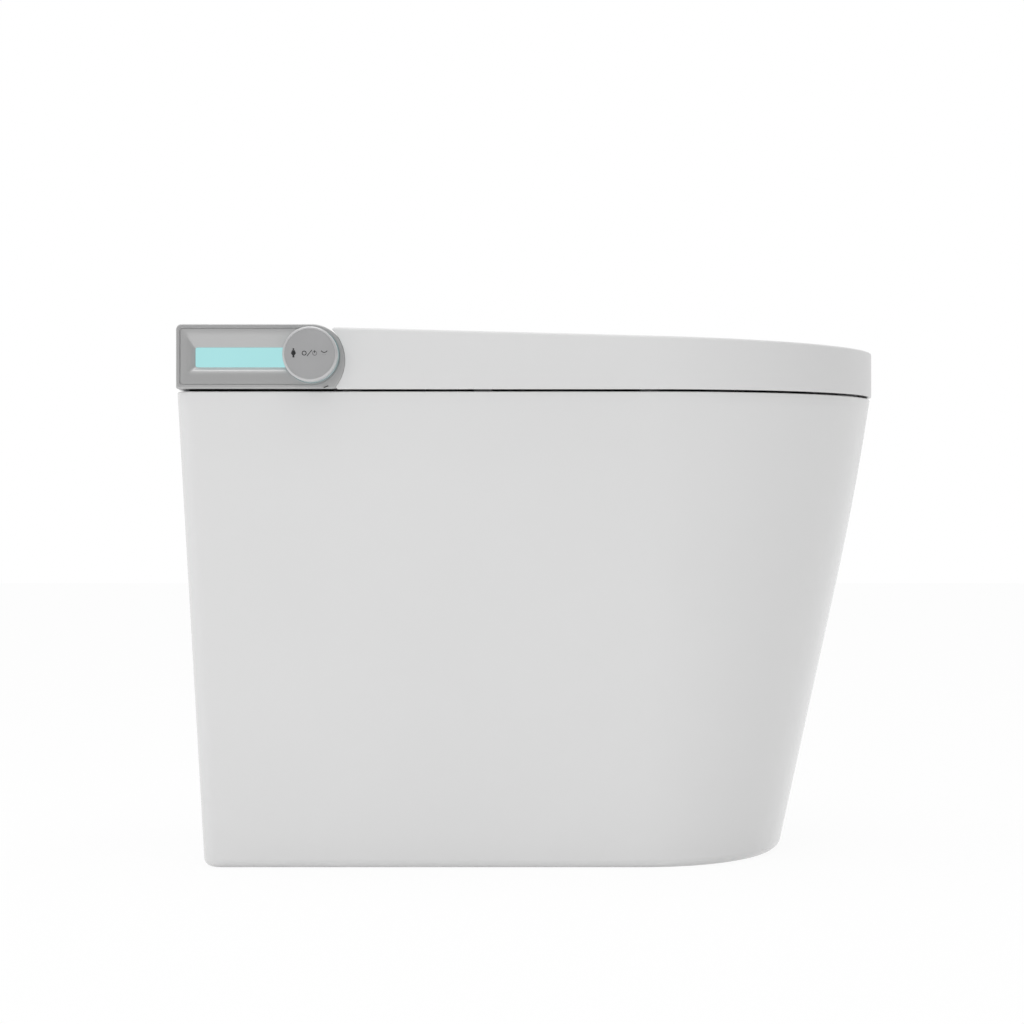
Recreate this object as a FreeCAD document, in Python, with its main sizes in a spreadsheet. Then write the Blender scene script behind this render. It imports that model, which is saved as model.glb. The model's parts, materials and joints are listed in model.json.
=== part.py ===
"""Floor-standing electronic toilet with a heated seat, as separate pieces, in millimetres.

+X points to the front of the toilet, +Z up, and the sitter's right side, with the control
knob, is at -Y. The origin is the middle of the waste outlet, on the floor.
"""
import FreeCAD, Part
import math
import os
import Sketcher

Vector = FreeCAD.Vector
X_AXIS = Vector(1, 0, 0)
Y_AXIS = Vector(0, 1, 0)
Z_AXIS = Vector(0, 0, 1)

# Driving dimensions: the cell's name, its number in millimetres, degrees or pieces, and its meaning.
DRIVING_SIZES = [
    ("ceramic_height", 433.0, "floor to the top of the china"),
    ("ceramic_shoulder", 335.0, "height where the front starts to curve in to the rim"),
    ("ceramic_back_top", -300.0, "back of the china, at the top"),
    ("ceramic_back_foot", -277.0, "back of the china, at the floor"),
    ("ceramic_front_top", 353.0, "front of the china, at the top"),
    ("ceramic_front_shoulder", 337.3, "front of the china, at the shoulder"),
    ("ceramic_front_foot", 264.0, "front of the china, at the floor"),
    ("ceramic_width_top", 388.0, "width of the china, at the top"),
    ("ceramic_width_foot", 360.0, "width of the china, at the floor"),
    ("nose_start_top", 132.0, "where the straight sides end and the rounded front starts, at the top"),
    ("nose_start_foot", 123.0, "the same, at the floor"),
    ("back_corner_radius", 14.0, "upright back corners of the china"),
    ("foot_edge_radius", 8.0, "edge of the china at the floor"),
    ("rim_edge_radius", 4.0, "outer top edge of the china"),
    ("china_wall", 10.0, "thickness of the china walls"),
    ("china_deck", 16.0, "thickness of the china's top"),
    ("foot_web_height", 16.0, "flange that ties the outlet to the skirt"),
    ("seal_seat_depth", 10.0, "depth of the seal's seat in that flange"),
    ("seal_width", 15.0, "width of the seal around the outlet"),
    ("foot_web_length", 110.0, "length of that flange"),
    ("bowl_back", -88.0, "back of the bowl at the rim"),
    ("bowl_front", 302.0, "front of the bowl at the rim"),
    ("bowl_width", 262.0, "width of the bowl at the rim"),
    ("sump_joint", 300.0, "height where the bowl's upper and lower castings meet"),
    ("sump_centre", 162.0, "middle of the sump"),
    ("sump_radius", 32.0, "radius of the sump"),
    ("trap_radius", 26.0, "inside radius of the trapway"),
    ("trap_floor", 75.0, "floor of the sump and of the trapway's start"),
    ("trap_bend_x", 134.7, "where the trapway turns up towards the weir"),
    ("trap_crown", 286.0, "where the trapway's two runs would meet above the outlet"),
    ("trap_inlet_bend", 45.0, "radius of the trapway's first bend"),
    ("trap_weir_bend", 40.0, "radius of the bend over the weir"),
    ("floor_bolt_spacing", 152.0, "spacing of the two floor bolts beside the outlet"),
    ("floor_bolt_hole_radius", 6.5, "holes for the floor bolts"),
    ("service_opening_back", -272.0, "back of the opening in the china's deck"),
    ("service_opening_front", -152.0, "front of that opening"),
    ("service_opening_rim", 27.0, "china between that opening and the line of the side caps"),
    ("nozzle_notch_depth", 65.0, "depth of the notch between that opening and the bowl"),
    ("nozzle_notch_right", -36.0, "right side of the notch"),
    ("nozzle_notch_left", 76.0, "left side of the notch"),
    ("back_window_width", 150.0, "opening in the back for water and power"),
    ("back_window_low", 70.0, "its lower edge"),
    ("back_window_high", 180.0, "its upper edge"),
    ("back_window_corner", 18.0, "its corner radius"),
    ("unit_gap", 2.2, "joint between the china and what stands on it"),
    ("unit_height", 58.5, "height of the rear unit above that joint"),
    ("unit_back", -299.4, "back of the rear unit"),
    ("unit_width", 392.0, "width of the rear unit and of the lid"),
    ("unit_nose_radius", 29.8, "round front of the rear unit"),
    ("unit_nose_x", -177.0, "middle of that round front"),
    ("unit_back_edge", 5.0, "radius of the rear unit's top back edge"),
    ("hinge_back", 12.5, "how far the hinge lies behind the middle of the round front"),
    ("hinge_up", 2.0, "how far the hinge lies above it"),
    ("foot_round_back", 8.0, "how far the wider round of the rear unit's foot lies behind that middle"),
    ("foot_round_down", 2.9, "how far that wider round lies below it"),
    ("lid_clearance", 0.5, "room between the rear unit's foot and the lid"),
    ("cover_wall", 3.0, "wall of the rear cover"),
    ("side_cap_depth", 22.0, "thickness of the side caps"),
    ("cap_edge", 2.0, "rounded outer edge of the side caps"),
    ("lid_front", 354.5, "front of the lid"),
    ("lid_back_height", 55.8, "height of the lid at its back, above its lower edge"),
    ("lid_slope", 1.5, "slope of the lid's top, in degrees"),
    ("lid_wall", 4.0, "wall of the lid"),
    ("lid_edge_radius", 2.5, "top edge of the lid"),
    ("lid_open_angle", 94.0, "angle of the open lid"),
    ("seat_front", 343.0, "front of the seat"),
    ("seat_width", 368.0, "width of the seat"),
    ("seat_back_gap", 50.0, "back of the seat, ahead of the hinge"),
    ("seat_lift", 5.0, "seat's underside above the china"),
    ("seat_height", 25.0, "thickness of the seat"),
    ("seat_shell", 3.5, "wall of the seat's upper shell"),
    ("seat_floor", 2.5, "thickness of the seat's lower shell"),
    ("seat_hole_centre", 108.0, "middle of the seat's hole"),
    ("seat_hole_length", 300.0, "length of the seat's hole"),
    ("seat_hole_width", 216.0, "width of the seat's hole"),
    ("seat_outer_round", 8.0, "outer top edge of the seat"),
    ("seat_inner_round", 10.0, "top edge of the seat's hole"),
    ("heater_foil", 1.0, "thickness of the heating foil"),
    ("hinge_pin_radius", 7.0, "radius of the hinge pins"),
    ("running_gap", 0.05, "radial clearance of turning fits"),
    ("loose_gap", 0.3, "clearance between loosely fitted pieces"),
    ("knuckle_radius", 25.0, "radius of the hinge barrels"),
    ("knuckle_width", 12.0, "width of each hinge barrel"),
    ("knuckle_gap", 1.6, "room beside each hinge barrel"),
    ("bracket_width", 13.0, "width of the hinge brackets"),
    ("damper_radius", 10.0, "radius of the soft-close dampers"),
    ("damper_length", 38.0, "length of the soft-close dampers"),
    ("tray_thickness", 3.0, "thickness of the tray under the rear unit"),
    ("tray_back", -295.0, "back of the tray"),
    ("tray_front", -167.0, "front of the tray"),
    ("tray_bolt_radius", 3.0, "radius of the bolts that hold the tray"),
    ("knob_radius", 24.8, "radius of the knob"),
    ("knob_bevel", 1.8, "bevel of the knob's edge"),
    ("knob_proud", 20.0, "how far the knob stands out of the side cap"),
    ("knob_rise", 1.6, "knob's middle above the middle of the round front"),
    ("knob_travel", 1.5, "travel of the pressed knob"),
    ("knob_wall", 3.0, "wall of the knob"),
    ("knob_face_thickness", 1.5, "thickness of the knob's face plate"),
    ("recess_depth", 6.0, "depth of the recess in the side cap"),
    ("recess_margin", 3.2, "flat border around that recess"),
    ("window_height", 18.0, "height of the display window"),
    ("window_back", -282.0, "back end of the display window"),
    ("window_front", -200.0, "front end of the display window, behind the knob"),
    ("window_thickness", 1.6, "thickness of the display window"),
    ("nozzle_slope", 25.0, "downward slope of the spray wand, in degrees"),
    ("nozzle_tip_x", -100.0, "tip of the stored wand"),
    ("nozzle_tip_drop", 43.0, "stored wand's tip, below the china's top"),
    ("wand_radius", 8.0, "radius of the spray wand"),
    ("wand_length", 187.0, "length of the wand with its tip"),
    ("wand_travel", 110.0, "travel of the spray wand"),
    ("wand_tip_length", 21.0, "length of the wand's spray tip"),
    ("nozzle_housing_size", 26.0, "outer width and height of the wand's guide"),
    ("gear_module", 1.0, "module of the wand's rack and pinion"),
    ("pinion_teeth", 16.0, "teeth of the pinion"),
    ("gear_width", 5.0, "width of the rack and pinion"),
    ("pinion_shaft_radius", 2.5, "radius of the pinion's shaft"),
    ("fan_shaft_radius", 3.0, "radius of the blower's and the pump's shafts"),
    ("pinion_back", 70.0, "pinion's distance behind the wand's tip"),
    ("duct_width", 36.0, "width of the dryer's duct"),
    ("duct_height", 24.0, "height of the dryer's duct"),
    ("duct_middle_y", 50.0, "middle of the dryer, left of the toilet's middle"),
    ("duct_drop", 16.0, "top of the dryer's duct, below the china's top"),
    ("duct_wall", 2.0, "wall of the dryer's duct"),
    ("shroud_front", -96.0, "front of the panel around the wand and the dryer"),
    ("shroud_thickness", 3.0, "thickness of that panel"),
    ("scroll_radius", 42.0, "radius of the blower's housing"),
    ("scroll_x", -205.0, "middle of the blower"),
    ("blower_wheel_radius", 33.0, "radius of the blower's wheel"),
    ("blower_blades", 18.0, "blades of the blower's wheel"),
    ("frame_plate", 3.0, "sheet thickness of the service frame"),
    ("frame_back_gap", 6.0, "room between the service frame and the back of its opening"),
    ("frame_front_gap", 3.0, "room between the service frame and the front of its opening"),
    ("frame_side_gap", 4.0, "room beside the service frame"),
    ("frame_floor", 60.0, "underside of the service frame's shelf"),
    ("tank_height", 235.0, "height of the flush tank"),
    ("tank_wall", 3.0, "wall of the flush tank"),
    ("pump_radius", 32.0, "radius of the flush pump"),
    ("pump_x", -205.0, "middle of the flush pump, front to back"),
    ("pump_y", 95.0, "middle of the flush pump, left of the toilet's middle"),
    ("pump_vanes", 6.0, "vanes of the pump's wheel"),
    ("flush_hose_radius", 12.0, "outer radius of the flush hose"),
    ("flush_hose_wall", 2.5, "wall of the flush hose"),
    ("rim_jet_drop", 33.0, "jet that washes the bowl, below the china's top"),
    ("rim_jet_y", 100.0, "jet's distance left of the toilet's middle"),
    ("inlet_thread_radius", 10.4775, "outer radius of the half-inch water thread"),
    ("inlet_thread_length", 16.0, "length of that thread"),
    ("inlet_y", -42.0, "water inlet, right of the toilet's middle"),
    ("inlet_height", 120.0, "height of the water inlet and the cable gland"),
    ("gland_y", 42.0, "cable gland, left of the toilet's middle"),
    ("gland_radius", 9.0, "radius of the cable gland"),
    ("inlet_hose_radius", 5.0, "radius of the small water hoses"),
    ("bumper_length", 16.0, "length of a lid bumper"),
]

doc = FreeCAD.newDocument("heated_seat_toilet")
sheet = doc.addObject("Spreadsheet::Sheet", "sizes")
for row, (alias, number, meaning) in enumerate(DRIVING_SIZES, start=1):
    sheet.set(f"A{row}", meaning)
    sheet.set(f"B{row}", str(number))
    sheet.setAlias(f"B{row}", alias)
doc.recompute()


class Size:
    """A number together with the sheet expression that it comes from."""

    def __init__(self, value, text):
        self.value = float(value)
        self.text = text

    def __add__(self, other):
        other = as_size(other)
        return Size(self.value + other.value, f"({self.text} + {other.text})")

    def __sub__(self, other):
        other = as_size(other)
        return Size(self.value - other.value, f"({self.text} - {other.text})")

    def __mul__(self, other):
        other = as_size(other)
        return Size(self.value * other.value, f"({self.text} * {other.text})")

    def __truediv__(self, other):
        other = as_size(other)
        return Size(self.value / other.value, f"({self.text} / {other.text})")

    def __radd__(self, other):
        return as_size(other) + self

    def __rsub__(self, other):
        return as_size(other) - self

    def __rmul__(self, other):
        return as_size(other) * self

    def __neg__(self):
        return as_size(0) - self


def as_size(number):
    """A plain number as a Size, so that both mix in one formula."""
    if isinstance(number, Size):
        return number
    return Size(number, f"({float(number)!r})")


def size(alias):
    """The sheet's cell of that name."""
    return Size(getattr(sheet, alias), f"sizes.{alias}")


def bind(thing, path, amount):
    """Ties one property of an object to the sheet."""
    thing.setExpression(path, as_size(amount).text)


def place(thing, x, y, z):
    """Ties an object's position to the sheet."""
    for letter, amount in zip("xyz", (x, y, z)):
        bind(thing, f"Placement.Base.{letter}", amount)


# ---------------------------------------------------------------------------------------------
# Small shapes that the pieces are put together from. A span is a pair: its low and high end.

def box(x_span, y_span, z_span):
    block = doc.addObject("Part::Box", "block")
    for path, (low, high) in zip(("Length", "Width", "Height"), (x_span, y_span, z_span)):
        bind(block, path, as_size(high) - low)
    place(block, x_span[0], y_span[0], z_span[0])
    return block


def round_bar(axis, centre, span, radius):
    """A cylinder along "x", "y" or "z"; centre gives its other two coordinates in X, Y, Z order."""
    bar = doc.addObject("Part::Cylinder", "round_bar")
    bind(bar, "Radius", radius)
    bind(bar, "Height", as_size(span[1]) - span[0])
    if axis == "x":
        bar.Placement.Rotation = FreeCAD.Rotation(Y_AXIS, 90)
        place(bar, span[0], centre[0], centre[1])
    elif axis == "y":
        bar.Placement.Rotation = FreeCAD.Rotation(X_AXIS, -90)
        place(bar, centre[0], span[0], centre[1])
    else:
        place(bar, centre[0], centre[1], span[0])
    return bar


def wedge_bar(centre, y_span, radius, low_angle, high_angle):
    """A slice of a cylinder along Y, from low_angle to high_angle above +X, seen from the right side."""
    slice_ = doc.addObject("Part::Cylinder", "wedge_bar")
    bind(slice_, "Radius", radius)
    bind(slice_, "Height", as_size(y_span[1]) - y_span[0])
    bind(slice_, "Angle", as_size(high_angle) - low_angle)
    upright = FreeCAD.Rotation(X_AXIS, 90)
    slice_.Placement.Rotation = FreeCAD.Rotation(Y_AXIS, -low_angle).multiply(upright)
    place(slice_, centre[0], y_span[1], centre[1])
    return slice_


def cone_bar(centre, y_span, low_radius, high_radius):
    """A cone along Y, with one radius at each end of its span."""
    cone = doc.addObject("Part::Cone", "cone_bar")
    bind(cone, "Radius1", low_radius)
    bind(cone, "Radius2", high_radius)
    bind(cone, "Height", as_size(y_span[1]) - y_span[0])
    cone.Placement.Rotation = FreeCAD.Rotation(X_AXIS, -90)
    place(cone, centre[0], y_span[0], centre[1])
    return cone


def fuse(*shapes):
    joined = doc.addObject("Part::MultiFuse", "joined")
    joined.Shapes = list(shapes)
    joined.Refine = True
    return joined


def common(first, second):
    shared = doc.addObject("Part::Common", "shared")
    shared.Base = first
    shared.Tool = second
    return shared


def cut(base, *tools):
    """base without the tools."""
    remainder = doc.addObject("Part::Cut", "remainder")
    remainder.Base = base
    remainder.Tool = tools[0] if len(tools) == 1 else fuse(*tools)
    return remainder


def group(*shapes):
    """Separate solids that share one node."""
    several = doc.addObject("Part::Compound", "several")
    several.Links = list(shapes)
    return several


def rounded(base, radius, wanted):
    """base with the edges for which wanted(edge) is true rounded."""
    doc.recompute()
    soft = doc.addObject("Part::Fillet", "rounded")
    soft.Base = base
    reach = as_size(radius).value
    soft.Edges = [
        (number, reach, reach) for number, edge in enumerate(base.Shape.Edges, start=1) if wanted(edge)
    ]
    return soft


def edge_between(edge, x_span=None, y_span=None, z_span=None):
    """True where all of an edge's ends lie within the spans, with a little room."""
    room = 0.01
    for span, letter in ((x_span, "x"), (y_span, "y"), (z_span, "z")):
        if span is None:
            continue
        low, high = as_size(span[0]).value - room, as_size(span[1]).value + room
        if not all(low <= getattr(vertex.Point, letter) <= high for vertex in edge.Vertexes):
            return False
    return True


def both_sides(low, high):
    """The same span on the right (-Y) and on the left (+Y)."""
    return [(-as_size(high), -as_size(low)), (as_size(low), as_size(high))]


# ---------------------------------------------------------------------------------------------
# Outlines seen from above.

def elliptic_arc(centre, reach_x, reach_y, height, start, end):
    """Part of an ellipse about (centre, 0), between two angles."""
    curve = Part.ArcOfCircle(Part.Circle(Vector(0, 0, 0), Z_AXIS, 1), start, end).toBSpline()
    for number, pole in enumerate(curve.getPoles(), start=1):
        moved = Vector(centre + pole.x * reach_x, pole.y * reach_y, height)
        curve.setPole(number, moved, curve.getWeight(number))
    return curve.toShape()


def plan_outline(back, nose_start, front, width, corner, height):
    """A straight back and sides, closed by half an ellipse at the front."""
    back, nose_start, front, width, corner, height = (
        as_size(amount).value for amount in (back, nose_start, front, width, corner, height)
    )
    side = width / 2
    bulge = corner * (1 - math.sqrt(0.5))
    edges = [
        Part.LineSegment(Vector(back, side - corner, height), Vector(back, corner - side, height)).toShape(),
        Part.Arc(
            Vector(back, corner - side, height),
            Vector(back + bulge, bulge - side, height),
            Vector(back + corner, -side, height),
        ).toShape(),
        Part.LineSegment(Vector(back + corner, -side, height), Vector(nose_start, -side, height)).toShape(),
        elliptic_arc(nose_start, front - nose_start, side, height, -math.pi / 2, math.pi / 2),
        Part.LineSegment(Vector(nose_start, side, height), Vector(back + corner, side, height)).toShape(),
        Part.Arc(
            Vector(back + corner, side, height),
            Vector(back + bulge, side - bulge, height),
            Vector(back, side - corner, height),
        ).toShape(),
    ]
    outline = doc.addObject("Part::Feature", "plan_outline")
    outline.Shape = Part.Wire(edges)
    return outline


def oval_outline(back, front, width, height):
    """A whole ellipse."""
    back, front, width, height = (as_size(amount).value for amount in (back, front, width, height))
    outline = doc.addObject("Part::Feature", "oval_outline")
    arcs = [
        elliptic_arc((back + front) / 2, (front - back) / 2, width / 2, height, start, start + math.pi)
        for start in (0, math.pi)
    ]
    outline.Shape = Part.Wire(arcs)
    return outline


def raise_outline(outline, height):
    """The solid that a flat outline sweeps when it goes straight up."""
    solid = doc.addObject("Part::Extrusion", "raised")
    solid.Base = outline
    solid.DirMode = "Custom"
    solid.Dir = Z_AXIS
    solid.Solid = True
    bind(solid, "LengthFwd", height)
    return solid


def loft(outlines):
    body = doc.addObject("Part::Loft", "lofted")
    body.Sections = outlines
    body.Solid = True
    body.Ruled = False
    return body


def pipe(points, bend_radii, radius):
    """A round bar along straight runs that are joined by arcs."""
    corners = [Vector(*(as_size(amount).value for amount in point)) for point in points]
    bends = [as_size(bend).value for bend in bend_radii]
    edges = []
    start = corners[0]
    for before, corner, after, bend in zip(corners, corners[1:], corners[2:], bends):
        towards = (before - corner).normalize()
        onwards = (after - corner).normalize()
        half_turn = (math.pi - towards.getAngle(onwards)) / 2
        reach = bend * math.tan(half_turn)
        enter = corner + towards * reach
        leave = corner + onwards * reach
        middle = (towards + onwards).normalize()
        deepest = corner + middle * (bend / math.cos(half_turn) - bend)
        edges.append(Part.LineSegment(start, enter).toShape())
        edges.append(Part.Arc(enter, deepest, leave).toShape())
        start = leave
    edges.append(Part.LineSegment(start, corners[-1]).toShape())
    spine = Part.Wire(edges)
    ring = Part.Circle(corners[0], corners[1] - corners[0], as_size(radius).value).toShape()
    bar = doc.addObject("Part::Feature", "pipe")
    bar.Shape = spine.makePipeShell([Part.Wire([ring])], True, False)
    return bar


# ---------------------------------------------------------------------------------------------
# Sketched bodies.

def new_body(name):
    return doc.addObject("PartDesign::Body", name)


def sketch_on(body, role, distance=0):
    """A sketch on one of the body's own origin planes, moved along that plane's normal."""
    sketch = body.newObject("Sketcher::SketchObject", "sketch")
    plane = [feature for feature in body.Origin.OriginFeatures if feature.Role == role][0]
    sketch.AttachmentSupport = [(plane, "")]
    sketch.MapMode = "FlatFace"
    bind(sketch, "AttachmentOffset.Base.z", distance)
    return sketch


def fix_point(sketch, element, end, x, y):
    """Ties one point of a sketch to the sheet."""
    for kind, amount in (("DistanceX", x), ("DistanceY", y)):
        amount = as_size(amount)
        number = sketch.addConstraint(Sketcher.Constraint(kind, -1, 1, element, end, amount.value))
        sketch.setExpression(f"Constraints[{number}]", amount.text)


def draw_polygon(sketch, points):
    """A closed outline of straight lines through the points."""
    points = [(as_size(x), as_size(y)) for x, y in points]
    first = sketch.GeometryCount
    count = len(points)
    for (x_1, y_1), (x_2, y_2) in zip(points, points[1:] + points[:1]):
        line = Part.LineSegment(Vector(x_1.value, y_1.value, 0), Vector(x_2.value, y_2.value, 0))
        sketch.addGeometry(line, False)
    for number in range(count):
        following = first + (number + 1) % count
        sketch.addConstraint(Sketcher.Constraint("Coincident", first + number, 2, following, 1))
    for number, (x, y) in enumerate(points):
        fix_point(sketch, first + number, 1, x, y)


def draw_rectangle(sketch, x_span, y_span):
    corners = [(x_span[0], y_span[0]), (x_span[1], y_span[0]), (x_span[1], y_span[1]), (x_span[0], y_span[1])]
    draw_polygon(sketch, corners)


def draw_circle(sketch, x, y, radius):
    x, y, radius = as_size(x), as_size(y), as_size(radius)
    centre = Vector(x.value, y.value, 0)
    element = sketch.addGeometry(Part.Circle(centre, Z_AXIS, radius.value), False)
    number = sketch.addConstraint(Sketcher.Constraint("Radius", element, radius.value))
    sketch.setExpression(f"Constraints[{number}]", radius.text)
    fix_point(sketch, element, 3, x, y)


def pad(body, sketch, length, symmetric=False, backwards=False):
    feature = body.newObject("PartDesign::Pad", "pad")
    feature.Profile = sketch
    feature.Reversed = backwards
    feature.SideType = "Symmetric" if symmetric else "One side"
    bind(feature, "Length", length)
    return feature


def pocket(body, sketch, length, symmetric=False, backwards=False):
    feature = body.newObject("PartDesign::Pocket", "pocket")
    feature.Profile = sketch
    feature.Reversed = backwards
    feature.SideType = "Symmetric" if symmetric else "One side"
    bind(feature, "Length", length)
    return feature


def polar_pattern(body, feature, axis_sketch, count):
    """Copies a feature around the normal of a sketch."""
    pattern = body.newObject("PartDesign::PolarPattern", "around")
    pattern.Originals = [feature]
    pattern.Axis = (axis_sketch, ["N_Axis"])
    pattern.Angle = 360
    bind(pattern, "Occurrences", count)
    body.Tip = pattern
    return pattern


# ---------------------------------------------------------------------------------------------
# Sizes that several pieces share.

half = 0.5
china_top = size("ceramic_height")
deck_floor = china_top - size("china_deck")
notch_floor = china_top - size("nozzle_notch_depth")
nozzle_tip_z = china_top - size("nozzle_tip_drop")
duct_top = china_top - size("duct_drop")
rim_jet_z = china_top - size("rim_jet_drop")
unit_floor = china_top + size("unit_gap")
unit_top = unit_floor + size("unit_height")
unit_half = size("unit_width") * half
nose_x = size("unit_nose_x")
nose_z = unit_top - size("unit_nose_radius")
nose = (nose_x, nose_z)
hinge_x = nose_x - size("hinge_back")
hinge_z = nose_z + size("hinge_up")
hinge = (hinge_x, hinge_z)
foot_back, foot_down = size("foot_round_back"), size("foot_round_down")
foot_round = (nose_x - foot_back, nose_z - foot_down)
# The two rounds touch, so the wider one is larger by the distance between their middles.
foot_reach = Size(
    math.hypot(foot_back.value, foot_down.value),
    f"sqrt({foot_back.text} * {foot_back.text} + {foot_down.text} * {foot_down.text})",
)
foot_radius = size("unit_nose_radius") + foot_reach
foot_top = nose_z + size("unit_nose_radius") * foot_down / foot_reach
cap_inner = unit_half - size("side_cap_depth")
pin_radius = size("hinge_pin_radius")
knuckle_bore = pin_radius + size("running_gap")
fixed_bore = pin_radius + 0.02
lid_knuckle = (cap_inner - size("knuckle_gap") - size("knuckle_width"), cap_inner - size("knuckle_gap"))
seat_knuckle_outer = lid_knuckle[0] - size("knuckle_gap")
seat_knuckle = (seat_knuckle_outer - size("knuckle_width"), seat_knuckle_outer)
pocket_inner = seat_knuckle[0] - size("knuckle_gap") * half
bracket = (pocket_inner - 2 - size("bracket_width"), pocket_inner - 2)
pin_span = (bracket[0], cap_inner + 5)
tray_top = unit_floor + size("tray_thickness")
opening_half = cap_inner - size("service_opening_rim")
frame_half = opening_half - size("frame_side_gap")
frame_back = size("service_opening_back") + size("frame_back_gap")
frame_front = size("service_opening_front") - size("frame_front_gap")
frame_inner = frame_half - size("frame_plate")
shelf_top = size("frame_floor") + size("frame_plate")
loose = size("loose_gap")
pinion_shaft_radius = size("pinion_shaft_radius")
pinion_shaft_depth = 10
fan_shaft_radius = size("fan_shaft_radius")

nodes = {}


def keep(name, piece):
    """Names a finished piece, which is written to a file of that name."""
    piece.Label = name
    nodes[name] = piece
    return piece


# ---------------------------------------------------------------------------------------------
# The china.

def ceramic_outline(height, front, inset):
    """The china's outline at a height between the floor and its top."""
    share = as_size(height) / china_top
    back = size("ceramic_back_foot") + (size("ceramic_back_top") - size("ceramic_back_foot")) * share
    width = size("ceramic_width_foot") + (size("ceramic_width_top") - size("ceramic_width_foot")) * share
    start = size("nose_start_foot") + (size("nose_start_top") - size("nose_start_foot")) * share
    corner = size("back_corner_radius") - as_size(inset) * half
    return plan_outline(back + inset, start, front - inset, width - as_size(inset) * 2, corner, height)


def ceramic_loft(inset, low, high):
    """The china's outer shape, or its inside at a distance of inset."""
    shoulder = size("ceramic_shoulder")
    front_foot = size("ceramic_front_foot")
    front_shin = (front_foot + size("ceramic_front_shoulder")) * half
    return loft([
        ceramic_outline(low, front_foot, inset),
        ceramic_outline(shoulder * half, front_shin, inset),
        ceramic_outline(shoulder, size("ceramic_front_shoulder"), inset),
        ceramic_outline(high, size("ceramic_front_top"), inset),
    ])


def bowl_loft(outset, low, high):
    """The bowl's inside, or its outside at a distance of outset."""
    sump_back = size("sump_centre") - size("sump_radius")
    sump_front = size("sump_centre") + size("sump_radius")
    sump_width = size("sump_radius") * 2
    back, front, width = size("bowl_back"), size("bowl_front"), size("bowl_width")
    drop = china_top - size("trap_floor")
    # Height above the sump's floor, back, front and width, each as a share of the way to the rim.
    levels = [
        (low, 0.0, 0.0, 0.0),
        (size("trap_floor") + drop * 0.21, 0.03, 0.10, 0.10),
        (size("trap_floor") + drop * 0.32, 0.09, 0.22, 0.22),
        (size("trap_floor") + drop * 0.45, 0.32, 0.45, 0.42),
        (size("trap_floor") + drop * 0.63, 0.62, 0.70, 0.69),
        (size("trap_floor") + drop * 0.82, 0.91, 0.92, 0.92),
        (high, 1.0, 1.0, 1.0),
    ]
    outlines = []
    for height, back_share, front_share, width_share in levels:
        outlines.append(oval_outline(
            sump_back + (back - sump_back) * back_share - outset,
            sump_front + (front - sump_front) * front_share + outset,
            sump_width + (width - sump_width) * width_share + as_size(outset) * 2,
            height,
        ))
    return loft(outlines)


def trapway(radius, start_x, end_z):
    """The siphon from the sump, up over the weir and down to the floor."""
    level = size("trap_floor") + size("trap_radius")
    points = [
        (start_x, 0, level),
        (size("trap_bend_x"), 0, level),
        (0, 0, size("trap_crown")),
        (0, 0, end_z),
    ]
    return pipe(points, [size("trap_inlet_bend"), size("trap_weir_bend")], radius)


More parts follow.
